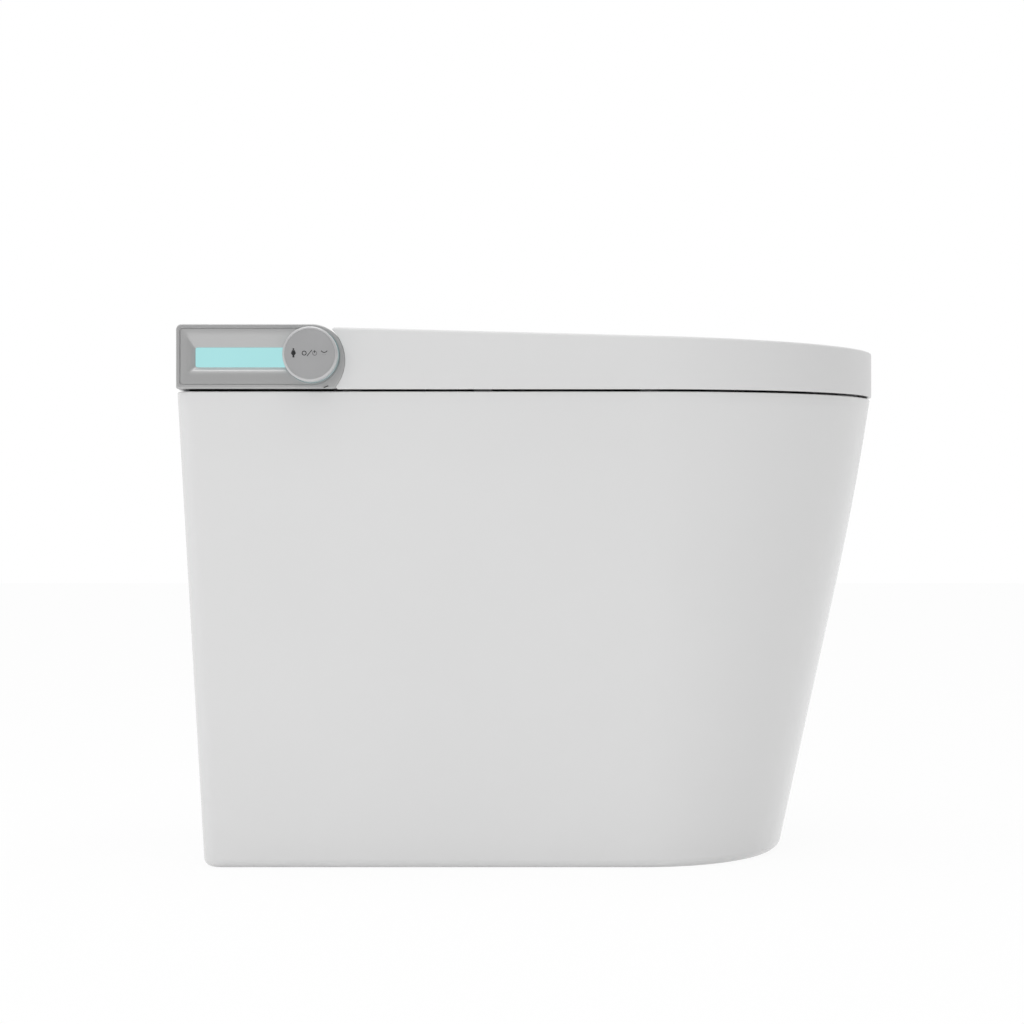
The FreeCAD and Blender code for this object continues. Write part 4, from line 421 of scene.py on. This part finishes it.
def brick(bm, x_span, y_span, z_span, edge=0.0, matrix=None):
    """A block between three pairs of limits, with its edges rounded."""
    middle = [sum(span) / 2 for span in (x_span, y_span, z_span)]
    reach = [span[1] - span[0] for span in (x_span, y_span, z_span)]
    made = bmesh.ops.create_cube(bm, size=1)["verts"]
    bmesh.ops.scale(bm, vec=reach, verts=made)
    bmesh.ops.translate(bm, vec=middle, verts=made)
    if matrix is not None:
        bmesh.ops.transform(bm, matrix=matrix, verts=made)
    if edge:
        sides = list({side for vertex in made for side in vertex.link_edges})
        bmesh.ops.bevel(bm, geom=sides, offset=edge, offset_type="OFFSET", segments=3, profile=0.5,
                        affect="EDGES", material=-1)


def add_copy(bm, other):
    """Adds all of another drawing to this one."""
    mesh = bpy.data.meshes.new("passing")
    other.to_mesh(mesh)
    other.free()
    bm.from_mesh(mesh)
    bpy.data.meshes.remove(mesh)


def temporary(bm):
    mesh = bpy.data.meshes.new("cutting")
    bmesh.ops.recalc_face_normals(bm, faces=bm.faces)
    bm.to_mesh(mesh)
    bm.free()
    return bpy.data.objects.new("cutting", mesh)


def carve(bm, *steps):
    """Joins to or cuts from a mesh: each step is "UNION" or "DIFFERENCE" and the mesh of a tool."""
    scene_objects = bpy.context.scene.collection.objects
    base = temporary(bm)
    scene_objects.link(base)
    tools = []
    for operation, tool_bm in steps:
        tool = temporary(tool_bm)
        scene_objects.link(tool)
        tools.append(tool)
        modifier = base.modifiers.new("carve", "BOOLEAN")
        modifier.operation = operation
        modifier.solver = "EXACT"
        modifier.object = tool
    shaped = base.evaluated_get(bpy.context.evaluated_depsgraph_get())
    result = bmesh.new()
    result.from_mesh(shaped.to_mesh())
    shaped.to_mesh_clear()
    for unused in [base, *tools]:
        mesh = unused.data
        bpy.data.objects.remove(unused)
        bpy.data.meshes.remove(mesh)
    return result


def finish_piece(bm, name, body, finish, replaced=(), crease=32):
    """Turns a drawing in millimetres into a piece in metres that rides on its body."""
    bmesh.ops.remove_doubles(bm, verts=bm.verts, dist=0.002)
    bmesh.ops.recalc_face_normals(bm, faces=bm.faces)
    bmesh.ops.scale(bm, vec=(0.001, 0.001, 0.001), verts=bm.verts)
    mesh = bpy.data.meshes.new(name)
    bm.to_mesh(mesh)
    bm.free()
    for polygon in mesh.polygons:
        polygon.use_smooth = True
    mesh.set_sharp_from_angle(angle=math.radians(crease))
    piece = bpy.data.objects.new(name, mesh)
    bpy.context.scene.collection.objects.link(piece)
    mesh.materials.append(FINISHES[finish])
    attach(piece, body)
    if replaced:
        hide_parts(*replaced)
    return piece


# ---------------------------------------------------------------------------------------------
# The china.

def skirt_front(height):
    return 263.8 + 0.2225 * height - 0.00019 * max(0.0, height - 250) ** 2


def skirt_loop(bm, height, inset):
    """The china's outline at a height, drawn in by inset."""
    share = height / CHINA_TOP
    back = -277.0 - 23.0 * share + inset
    half_width = 180.0 + 14.0 * share - inset
    corner = 14.0 - inset / 2
    front = skirt_front(height) - 0.8 * share - inset
    return plan_loop(bm, back, 123 + 9 * share, front, half_width, (corner, corner), (height, 0))


BOWL_LEVELS = [(0.0, 0.0, 0.0, 0.0), (0.21, 0.03, 0.10, 0.10), (0.32, 0.09, 0.22, 0.22), (0.45, 0.32, 0.45, 0.42),
               (0.63, 0.62, 0.70, 0.69), (0.82, 0.91, 0.92, 0.92), (1.0, 1.0, 1.0, 1.0)]


def bowl_shares(share):
    """The bowl's back, front and width at a share of its depth, on a smooth curve through its levels."""
    for number in range(len(BOWL_LEVELS) - 1):
        low, high = BOWL_LEVELS[number], BOWL_LEVELS[number + 1]
        if share <= high[0]:
            break
    before = BOWL_LEVELS[max(0, number - 1)]
    after = BOWL_LEVELS[min(len(BOWL_LEVELS) - 1, number + 2)]
    span = high[0] - low[0]
    t = (share - low[0]) / span
    values = []
    for k in (1, 2, 3):
        slope_low = (high[k] - before[k]) / (high[0] - before[0]) * span
        slope_high = (after[k] - low[k]) / (after[0] - low[0]) * span
        values.append(
            (2 * t ** 3 - 3 * t ** 2 + 1) * low[k] + (t ** 3 - 2 * t ** 2 + t) * slope_low
            + (-2 * t ** 3 + 3 * t ** 2) * high[k] + (t ** 3 - t ** 2) * slope_high
        )
    return values


def bowl_loop(bm, height, outset):
    share = max(0.0, min(1.0, (height - 75.0) / (CHINA_TOP - 75.0)))
    back_share, front_share, width_share = bowl_shares(share)
    back = 130.0 - 218.0 * back_share - outset
    front = 194.0 + 108.0 * front_share + outset
    half_width = 32.0 + 99.0 * width_share + outset
    return oval_loop(bm, back, front, half_width, height)


def along_wand():
    """Puts the wand's own coordinates in place: its tip, and its slope downwards to the front."""
    return Matrix.Translation((-100, 0, 390)) @ Matrix.Rotation(math.radians(25), 4, "Y")


def make_china():
    """Skirt, deck and bowl as one glazed surface."""
    bm = bmesh.new()
    outer_levels = []
    for step in range(7):
        lean = math.radians(15 * step)
        outer_levels.append((FOOT_ROUND * (1 - math.cos(lean)), FOOT_ROUND * (1 - math.sin(lean))))
    outer_levels += [(height, 0) for height in range(32, 260, 38)]
    outer_levels += [(height, 0) for height in range(260, 425, 20)]
    for step in range(7):
        lean = math.radians(15 * step)
        outer_levels.append((CHINA_TOP - RIM_ROUND * (1 - math.sin(lean)), RIM_ROUND * (1 - math.cos(lean))))
    loops = [bowl_loop(bm, height, CHINA_WALL) for height in (65, 95, 130, 160, 190, 230, 270, 320, 370, 417)]
    bottom = loops[0]
    loops += [skirt_loop(bm, height, CHINA_WALL) for height in (417, 310, 210, 110, 10)]
    loops += [skirt_loop(bm, 0, CHINA_WALL - 1)]
    loops += [skirt_loop(bm, height, inset) for height, inset in outer_levels]
    loops += [skirt_loop(bm, CHINA_TOP, 14), oval_loop(bm, -100, 314, 143, CHINA_TOP)]
    lip = 5.0
    for step in range(6):
        lean = math.radians(18 * step)
        loops.append(bowl_loop(bm, CHINA_TOP - lip * (1 - math.cos(lean)), lip * (1 - math.sin(lean))))
    loops += [bowl_loop(bm, height, 0) for height in range(418, 95, -17)]
    for step in range(1, 6):
        lean = math.radians(18 * step)
        loops.append(bowl_loop(bm, 93 - 18 * math.sin(lean), -18 * (1 - math.cos(lean))))
    bridge(bm, loops)
    cap(bm, bottom)
    cap(bm, loops[-1])

    notch_block = bmesh.new()
    brick(notch_block, (-153, -30), (-44, 84), (358, 418))
    chute_block = bmesh.new()
    brick(chute_block, (0, 95), (-24, 24), (-26, 0), matrix=along_wand())
    holes = bmesh.new()
    brick(holes, (-272, -152), (-147, 147), (400, 440), 3)
    notch = bmesh.new()
    brick(notch, (-156, -40), (-36, 76), (368, 445), 4)
    chute = bmesh.new()
    brick(chute, (-30, 150), (-14, 14), (-16, 20), 3, along_wand())
    window = bmesh.new()
    brick(window, (-310, -255), (-75, 75), (70, 180))
    uprights = [edge for edge in window.edges if abs(edge.verts[0].co.x - edge.verts[1].co.x) > 10]
    bmesh.ops.bevel(window, geom=uprights, offset=18, segments=8, profile=0.5, affect="EDGES", material=-1)
    for radius, length, place in ((26, 60, (150, 0, 101)), (12.02, 80, (20, 100, 400))):
        bore = bmesh.new()
        lathe(bore, [(0, 0), (radius, 0), (radius, length), (0, length)], (0, 0), 64)
        bmesh.ops.rotate(bore, cent=(0, 0, 0), matrix=Matrix.Rotation(math.radians(90), 3, "Z"), verts=bore.verts)
        bmesh.ops.translate(bore, vec=place, verts=bore.verts)
        add_copy(holes, bore)
    add_copy(holes, window)
    walls = carve(notch_block, ("UNION", chute_block))
    holes = carve(holes, ("UNION", notch), ("UNION", chute))
    body = carve(bm, ("UNION", walls), ("DIFFERENCE", holes))
    castings = ("ceramic_skirt", "ceramic_deck", "ceramic_bowl", "ceramic_sump")
    finish_piece(body, "china_body", "base", "china", castings)


# ---------------------------------------------------------------------------------------------
# The lid.

LID_RISE = 55.8
LID_FALL = math.tan(math.radians(1.5))
LID_WALL = 4.0
LID_BACK = -158.5
LID_GAP = 0.04
LID_HEEL = 2.6
LID_FOOT = 1.5


def heel_round(rise):
    """How far the lid's heel is rounded off at a rise above its lower edge."""
    depth = min(LID_HEEL, max(0.0, LID_HEEL - rise))
    return LID_HEEL - math.sqrt(LID_HEEL ** 2 - depth ** 2)


def lid_back(height, inset):
    """How far back the lid reaches at a height: it follows the rear unit's foot, with a round heel."""
    foot = FOOT_RADIUS + LID_GAP + inset
    hollow = FOOT_X + math.sqrt(foot ** 2 - (height - FOOT_Z) ** 2)
    return max(hollow, LID_BACK + inset) + heel_round(height - UNIT_FLOOR)


def lid_loop(bm, rise, inset, extra=0.0):
    """The lid's outline at a rise above its lower edge, which grows less towards the front."""
    back = lid_back(UNIT_FLOOR + rise, inset) + extra
    fall = LID_FALL * rise / LID_RISE
    tilt = (UNIT_FLOOR + rise + LID_BACK * fall, -fall)
    reach = inset + extra
    return plan_loop(bm, back, 132, 354.5 - reach, UNIT_HALF - reach, (0.5, 0.5), tilt)


def make_lid():
    bm = bmesh.new()
    edge = 2.5
    outer = [(-0.3, 0.5), (-0.2, 0.3), (LID_FOOT - 0.1, 0.02)]
    outer += [(rise, 0.0) for rise in (LID_FOOT + 0.1, 2.2, 2.7, 5, 10, 16, 22, 27, 33, 38, 43, 48, 51, LID_RISE - edge)]
    outer += [(LID_RISE - edge * (1 - math.sin(math.radians(lean))), edge * (1 - math.cos(math.radians(lean))))
              for lean in (15, 30, 45, 60, 75, 90)]
    inner_top = LID_RISE - LID_WALL
    inner = [(-0.3, 3.4), (0.2, LID_WALL)]
    inner += [(rise, LID_WALL) for rise in (6, 12, 18, 24, 29.2, 36, 42, 47, inner_top - 2)]
    inner += [(inner_top - 2 * (1 - math.sin(math.radians(lean))), LID_WALL + 2 * (1 - math.cos(math.radians(lean))))
              for lean in (30, 60, 90)]
    loops = [lid_loop(bm, inner_top, LID_WALL + 2, 9)]
    loops += [lid_loop(bm, rise, inset) for rise, inset in inner[::-1]]
    loops += [lid_loop(bm, rise, inset) for rise, inset in outer]
    loops += [lid_loop(bm, LID_RISE, edge, 7)]
    bridge(bm, loops)
    cap(bm, loops[0])
    cap(bm, loops[-1])
    tools = []
    for side in (-1, 1):
        arm = bmesh.new()
        lathe(arm, [(0, side * 160.4), (25, side * 160.4), (25, side * 172.4), (0, side * 172.4)],
              (HINGE_X, HINGE_Z))
        tools.append(("UNION", arm))
        tools.append(("UNION", hinge_sector(48, -34, 2, sorted((side * 160.4, side * 172.4)))))
        slot = bmesh.new()
        brick(slot, (HINGE_X + 30, HINGE_X + 49), sorted((side * 146, side * 159.6)), (UNIT_FLOOR - 1, HINGE_Z + 1))
        tools.append(("DIFFERENCE", slot))
        tools.append(("DIFFERENCE", hinge_bore(sorted((side * 159, side * 173.5)))))
    finish_piece(carve(bm, *tools), "lid", "lid", "white_shell", ("lid_shell",))


def hinge_sector(radius, low_angle, high_angle, y_span):
    """A slice of a disc about the hinge, from one angle above +X to another."""
    bm = bmesh.new()
    centre = bm.verts.new((0, 0, 0))
    start = bm.verts.new((radius, 0, 0))
    spoke = bm.edges.new((centre, start))
    turn = math.radians(high_angle - low_angle)
    bmesh.ops.spin(bm, geom=[centre, start, spoke], cent=(0, 0, 0), axis=(0, -1, 0), dvec=(0, 0, 0),
                   angle=turn, steps=12, use_duplicate=False)
    bmesh.ops.remove_doubles(bm, verts=bm.verts, dist=0.001)
    bmesh.ops.rotate(bm, cent=(0, 0, 0), matrix=Matrix.Rotation(math.radians(-low_angle), 3, "Y"), verts=bm.verts)
    bmesh.ops.translate(bm, vec=(HINGE_X, y_span[0], HINGE_Z), verts=bm.verts)
    raised = bmesh.ops.extrude_face_region(bm, geom=bm.faces[:])["geom"]
    moved = [item for item in raised if isinstance(item, bmesh.types.BMVert)]
    bmesh.ops.translate(bm, vec=(0, y_span[1] - y_span[0], 0), verts=moved)
    return bm


def hinge_bore(y_span):
    bm = bmesh.new()
    lathe(bm, [(0, y_span[0]), (7.05, y_span[0]), (7.05, y_span[1]), (0, y_span[1])], (HINGE_X, HINGE_Z), 48)
    return bm


# ---------------------------------------------------------------------------------------------
# The seat.

SEAT_LOW, SEAT_HIGH = 438.0, 463.0


def seat_edge(bm, height, inset):
    corner = max(2.0, 10.0 - inset * 0.5)
    return plan_loop(bm, HINGE_X + 50 + inset, 132, 343 - inset, 184 - inset, (corner, corner), (height, 0))


def seat_hole(bm, height, outset):
    return oval_loop(bm, -42 - outset, 258 + outset, 108 + outset, height)


def make_seat():
    """The seat's upper shell: rounded outside, dished towards its hole, and hollow underneath."""
    bm = bmesh.new()
    outside, inside = 8.0, 10.0
    loops = [seat_edge(bm, SEAT_LOW, 3.5), seat_edge(bm, SEAT_LOW, 0.6), seat_edge(bm, SEAT_LOW + 0.6, 0),
             seat_edge(bm, SEAT_HIGH - 14, 0)]
    for lean in range(0, 91, 15):
        bend = math.radians(lean)
        loops.append(seat_edge(bm, SEAT_HIGH - outside * (1 - math.sin(bend)), outside * (1 - math.cos(bend))))
    loops.append(seat_edge(bm, SEAT_HIGH - 0.1, 14))
    for outset, drop in ((26, 0.6), (18, 0.9)):
        loops.append(seat_hole(bm, SEAT_HIGH - drop, outset))
    for lean in range(90, -1, -15):
        bend = math.radians(lean)
        height = SEAT_HIGH - 1 - (inside - 1) * (1 - math.sin(bend))
        loops.append(seat_hole(bm, height, inside * (1 - math.cos(bend))))
    loops += [seat_hole(bm, SEAT_LOW + 0.6, 0), seat_hole(bm, SEAT_LOW, 0.6), seat_hole(bm, SEAT_LOW, 3.5)]
    loops += [seat_hole(bm, SEAT_HIGH - 5, 3.5), seat_edge(bm, SEAT_HIGH - 4, 3.5)]
    bridge(bm, loops)
    bridge(bm, [loops[-1], loops[0]])
    tools = []
    for side in (-1, 1):
        span = sorted((side * 146.8, side * 158.8))
        arm = bmesh.new()
        lathe(arm, [(0, span[0]), (25, span[0]), (25, span[1]), (0, span[1])], (HINGE_X, HINGE_Z))
        tools += [("UNION", arm), ("UNION", hinge_sector(53.5, -34, -4, span))]
        tools.append(("DIFFERENCE", hinge_bore((span[0] - 1, span[1] + 1))))
    finish_piece(carve(bm, *tools), "seat", "seat", "seat_shell", ("seat_top",))


# ---------------------------------------------------------------------------------------------
# The rear unit's side caps, with the display and the knob on the right.

def cap_loop(bm, inset, depth):
    """The rear unit's side view, drawn in by inset, at a depth behind the cap's face."""
    nose, foot = NOSE_RADIUS - inset, FOOT_RADIUS - inset
    low, high, back = UNIT_FLOOR + inset, UNIT_TOP - inset, UNIT_BACK + inset
    meet = math.degrees(math.atan2(NOSE_Z - FOOT_Z, NOSE_X - FOOT_X))
    foot_end = math.degrees(math.asin((low - FOOT_Z) / foot))
    foot_x = FOOT_X + foot * math.cos(math.radians(foot_end))
    upper, lower = 5.0 - inset / 2, 1.6 - inset / 3

    def draw():
        arc(bm, (NOSE_X, NOSE_Z), (nose, nose), 90, meet - 90, 20)
        arc(bm, (FOOT_X, FOOT_Z), (foot, foot), meet, foot_end - meet, 22)
        line(bm, (foot_x, low), (NOSE_X, low), 10)
        line(bm, (NOSE_X, low), (back + lower, low), 12)
        arc(bm, (back + lower, low + lower), (lower, lower), 270, -90, 4)
        line(bm, (back, low + lower), (back, high - upper), 6)
        arc(bm, (back + upper, high - upper), (upper, upper), 180, -90, 8)
        line(bm, (back + upper, high), (NOSE_X, high), 12)

    return stand_up(bm, closed_loop(bm, draw), depth)


def stand_up(bm, edges, depth):
    """Turns a loop from the ground plane to the right side, at a depth behind the cap's face."""
    verts = loop_verts(edges)
    bmesh.ops.rotate(bm, cent=(0, 0, 0), matrix=Matrix.Rotation(math.radians(90), 3, "X"), verts=verts)
    bmesh.ops.translate(bm, vec=(0, depth - UNIT_HALF, 0), verts=verts)
    return edges


# The recess in a side cap, from its border to the window: depth, and how far its upper, lower and
# back slopes have come in. All three start nearly flat, and the upper one falls off first.
RECESS_LEVELS = [
    (0.35, 1.0, 1.0, 1.0), (0.42, 2.9, 3.9, 2.8), (0.55, 4.8, 7.4, 4.7), (0.80, 6.7, 10.4, 6.6),
    (1.20, 8.6, 12.1, 8.2), (1.80, 10.5, 13.2, 9.6), (2.50, 12.2, 14.0, 10.8), (3.30, 14.0, 14.8, 11.8),
    (4.10, 15.7, 15.6, 12.8), (4.90, 17.4, 16.4, 13.8),
]


def recess_loop(bm, sunk, depth, corner=2.6):
    """An outline in the recess, at how far its top, bottom and back have come in from the border."""
    down, up, forward = sunk
    back, low, high = -296.2 + forward, 438.5 + up, 490.3 - down
    reach, middle = (high - low) / 2, (high + low) / 2

    def draw():
        arc(bm, (NOSE_X, middle), (reach, reach), 90, -180, 52)
        line(bm, (NOSE_X, low), (back + corner, low), 12)
        arc(bm, (back + corner, low + corner), (corner, corner), 270, -90, 4)
        line(bm, (back, low + corner), (back, high - corner), 6)
        arc(bm, (back + corner, high - corner), (corner, corner), 180, -90, 8)
        line(bm, (back + corner, high), (NOSE_X, high), 12)

    return stand_up(bm, closed_loop(bm, draw), depth)


def window_loop(bm, inset, depth):
    """The display window's outline, drawn in by inset."""
    return recess_loop(bm, (17.4 + inset, 16.4 + inset, 13.8 + inset), depth, 1.6)


def toe_block():
    """The cap's small toe, which fills the space below the lid's rounded heel."""
    bm = bmesh.new()
    rises = (LID_HEEL, 1.7, 1.0, 0.45, 0.12, 0.0)
    heights = [UNIT_FLOOR + rise for rise in rises]
    edge = [(FOOT_X + math.sqrt(FOOT_RADIUS ** 2 - (height - FOOT_Z) ** 2) + heel_round(rise), height)
            for rise, height in zip(rises, heights)]
    edge += [(edge[0][0] - 4, UNIT_FLOOR), (edge[0][0] - 4, UNIT_FLOOR + LID_HEEL)]

    def draw():
        for start, end in zip(edge, edge[1:] + edge[:1]):
            line(bm, start, end, 1)

    loops = [stand_up(bm, closed_loop(bm, draw), depth) for depth in (UNIT_HALF - CAP_INNER - 0.4, 0.2)]
    bridge(bm, loops)
    for edges in loops:
        cap(bm, edges)
    return bm


def slanted_bar(y_span, slack):
    """The short slanted slot below the knob, or the black strip in it that paints the slot's shade."""
    bm = bmesh.new()
    brick(bm, (slack - 2.3, 2.3 - slack), y_span, (slack - 0.5, 0.5 - slack))
    bmesh.ops.rotate(bm, cent=(0, 0, 0), matrix=Matrix.Rotation(math.radians(-24), 3, "Y"), verts=bm.verts)
    bmesh.ops.translate(bm, vec=(-164.0, 0, 437.1), verts=bm.verts)
    return bm


def make_side_cap(side):
    bm = bmesh.new()
    edge = 1.2
    loops = [cap_loop(bm, 0.4, UNIT_HALF - CAP_INNER), cap_loop(bm, 0.0, UNIT_HALF - CAP_INNER - 0.4)]
    for lean in range(0, 91, 15):
        bend = math.radians(lean)
        loops.append(cap_loop(bm, edge * (1 - math.cos(bend)), edge * (1 - math.sin(bend))))
    for inset, depth in ((-0.15, 0), (0.0, 0.1), (0.1, 1.6), (0.85, 1.6)):
        loops.append(recess_loop(bm, (inset, inset, inset), depth))
    for depth, down, up, forward in RECESS_LEVELS:
        loops.append(recess_loop(bm, (down, up, forward), depth, 2.6 - 0.2 * depth))
    loops += [window_loop(bm, 0.0, 6.4), window_loop(bm, 0.0, 8.4)]
    bridge(bm, loops)
    cap(bm, loops[0])
    cap(bm, loops[-1])
    socket = bmesh.new()
    lathe(socket, [(0, -180), (7.02, -180), (7.02, -170), (0, -170)], (HINGE_X, HINGE_Z), 48)
    tools = [("UNION", toe_block()), ("DIFFERENCE", socket)]
    if side < 0:
        pit = bmesh.new()
        lathe(pit, [(0, -200), (25.1, -200), (25.1, -189.8), (11.8, -189.8), (11.8, -180.6), (0, -180.6)],
              (KNOB_X, KNOB_Z), 128)
        slit = slanted_bar((-200, -191), 0.0)
        tools += [("DIFFERENCE", pit), ("DIFFERENCE", slit)]
    body = carve(bm, *tools)
    name, node = ("side_cap_with_display", "side_cap_right") if side < 0 else ("side_cap_plain", "side_cap_left")
    if side > 0:
        bmesh.ops.scale(body, vec=(1, -1, 1), verts=body.verts)
    finish_piece(body, name, "base", "cap_grey", (node,), crease=24)


def make_painted_slot_shade():
    # Painted shade: a black strip set in the slot's floor so that the slot reads dark.
    finish_piece(slanted_bar((-194.9, -191.2), 0.02), "painted_slot_shade", "base", "dark_plastic")


def make_window():
    """The lit pane on the right and the plain inlay on the left."""
    for side, finish, node in ((-1, "window_glass", "display_window"), (1, "cap_grey", "side_cap_inlay")):
        bm = bmesh.new()
        loops = [window_loop(bm, inset, depth) for inset, depth in ((0.15, 8.2), (0.15, 5.4), (0.3, 5.25))]
        bridge(bm, loops)
        cap(bm, loops[0])
        cap(bm, loops[-1])
        if side < 0:
            clear = bmesh.new()
            lathe(clear, [(0, -200), (25.9, -200), (25.9, -180), (0, -180)], (KNOB_X, KNOB_Z), 128)
            bm = carve(bm, ("DIFFERENCE", clear))
        else:
            bmesh.ops.scale(bm, vec=(1, -1, 1), verts=bm.verts)
        finish_piece(bm, "display_pane" if side < 0 else "cap_inlay", "base", finish, (node,))


def make_knob():
    """A silver ring round a flat face plate, with a lit band round its side and printed symbols."""
    bm = bmesh.new()
    rim, band, band_back = -194.3, -211.6, -195.2
    bevel_y, bevel = -214.2, 1.8
    profile = [(0, rim - 3), (21.8, rim - 3), (21.8, rim), (KNOB_RADIUS - 0.3, rim), (KNOB_RADIUS, rim - 0.3),
               (KNOB_RADIUS, band_back), (24.1, band_back), (24.1, band), (KNOB_RADIUS, band)]
    profile += [(23.0 + bevel * math.cos(math.radians(lean)), bevel_y - bevel * math.sin(math.radians(lean)))
                for lean in (0, 15, 30, 45, 60, 75, 90)]
    profile += [(22.7, KNOB_FACE_Y), (22.5, KNOB_FACE_Y + 0.2), (22.5, KNOB_FACE_Y + 1.3), (0, KNOB_FACE_Y + 1.3)]
    lathe(bm, profile, (KNOB_X, KNOB_Z), 160)
    finish_piece(bm, "knob_ring", "knob", "knob_metal", ("knob_cap",), crease=28)
    bm = bmesh.new()
    lathe(bm, [(24.05, band), (KNOB_RADIUS - 0.05, band), (KNOB_RADIUS - 0.05, band_back), (24.05, band_back)],
          (KNOB_X, KNOB_Z), 160, ring=True)
    finish_piece(bm, "knob_glow_band", "knob", "knob_glow", crease=28)
    bm = bmesh.new()
    top = PLATE_Y
    lathe(bm, [(0, top + 0.9), (22.46, top + 0.9), (22.46, top + 0.1), (22.36, top), (0, top)],
          (KNOB_X, KNOB_Z), 160)
    finish_piece(bm, "knob_plate", "knob", "knob_plate", ("knob_face",), crease=28)


PLATE_Y = KNOB_FACE_Y + 0.1
PRINT = 0.06


def print_stroke(bm, start, end, width):
    """A straight printed line between two points on the knob's face, measured from its middle."""
    middle = ((start[0] + end[0]) / 2, (start[1] + end[1]) / 2)
    length = math.hypot(end[0] - start[0], end[1] - start[1])
    angle = math.atan2(end[1] - start[1], end[0] - start[0])
    stroke = bmesh.new()
    brick(stroke, (-length / 2, length / 2), (PLATE_Y - PRINT, PLATE_Y + 0.1), (-width / 2, width / 2))
    bmesh.ops.rotate(stroke, cent=(0, 0, 0), matrix=Matrix.Rotation(-angle, 3, "Y"), verts=stroke.verts)
    bmesh.ops.translate(stroke, vec=(KNOB_X + middle[0], 0, KNOB_Z + middle[1]), verts=stroke.verts)
    add_copy(bm, stroke)


def print_ring(bm, middle, inner, outer):
    centre = (KNOB_X + middle[0], KNOB_Z + middle[1])
    top, bottom = PLATE_Y - PRINT, PLATE_Y + 0.1
    if inner:
        lathe(bm, [(inner, bottom), (outer, bottom), (outer, top), (inner, top)], centre, 32, ring=True)
    else:
        lathe(bm, [(0, bottom), (outer, bottom), (outer, top), (0, top)], centre, 32)


def make_knob_symbols():
    """Plain symbols for washing, off and on, and the spray, printed on the knob's face."""
    black = bmesh.new()
    print_ring(black, (-14.6, 4.3), 0, 0.8)
    for reach, low, high in ((1.3, 2.2, 3.3), (1.8, 1.2, 2.2), (2.1, 0.1, 1.2), (1.6, -0.9, 0.1), (0.85, -3.2, -0.9)):
        print_stroke(black, (-14.6 - reach, (low + high) / 2), (-14.6 + reach, (low + high) / 2), high - low)
    finish_piece(black, "symbol_figure", "knob", "knob_print")
    line_bm = bmesh.new()
    print_ring(line_bm, (-5.0, 0.7), 1.45, 2.15)
    print_stroke(line_bm, (-2.6, -2.0), (2.0, 3.5), 0.6)
    print_stroke(line_bm, (4.4, 1.0), (4.4, 3.1), 0.8)
    curve = [(-2.7, 0.9), (-2.2, 0.1), (-1.3, -0.3), (-0.6, -0.7), (0.6, -0.7), (1.3, -0.3), (2.2, 0.1), (2.7, 0.9)]
    for start, end in zip(curve, curve[1:]):
        print_stroke(line_bm, (12.9 + start[0], 2.0 + start[1]), (12.9 + end[0], 2.0 + end[1]), 0.7)
    finish_piece(line_bm, "symbol_lines", "knob", "knob_print")
    grey = bmesh.new()
    print_ring(grey, (4.4, 0.6), 1.6, 2.15)
    for across in (-1.2, 0.0, 1.2):
        print_ring(grey, (12.9 + across, -0.6), 0, 0.22)
    finish_piece(grey, "symbol_grey", "knob", "knob_print_grey")


make_china()
make_lid()
make_seat()
make_side_cap(-1)
make_side_cap(1)
make_painted_slot_shade()
make_window()
make_knob()
make_knob_symbols()
studio()
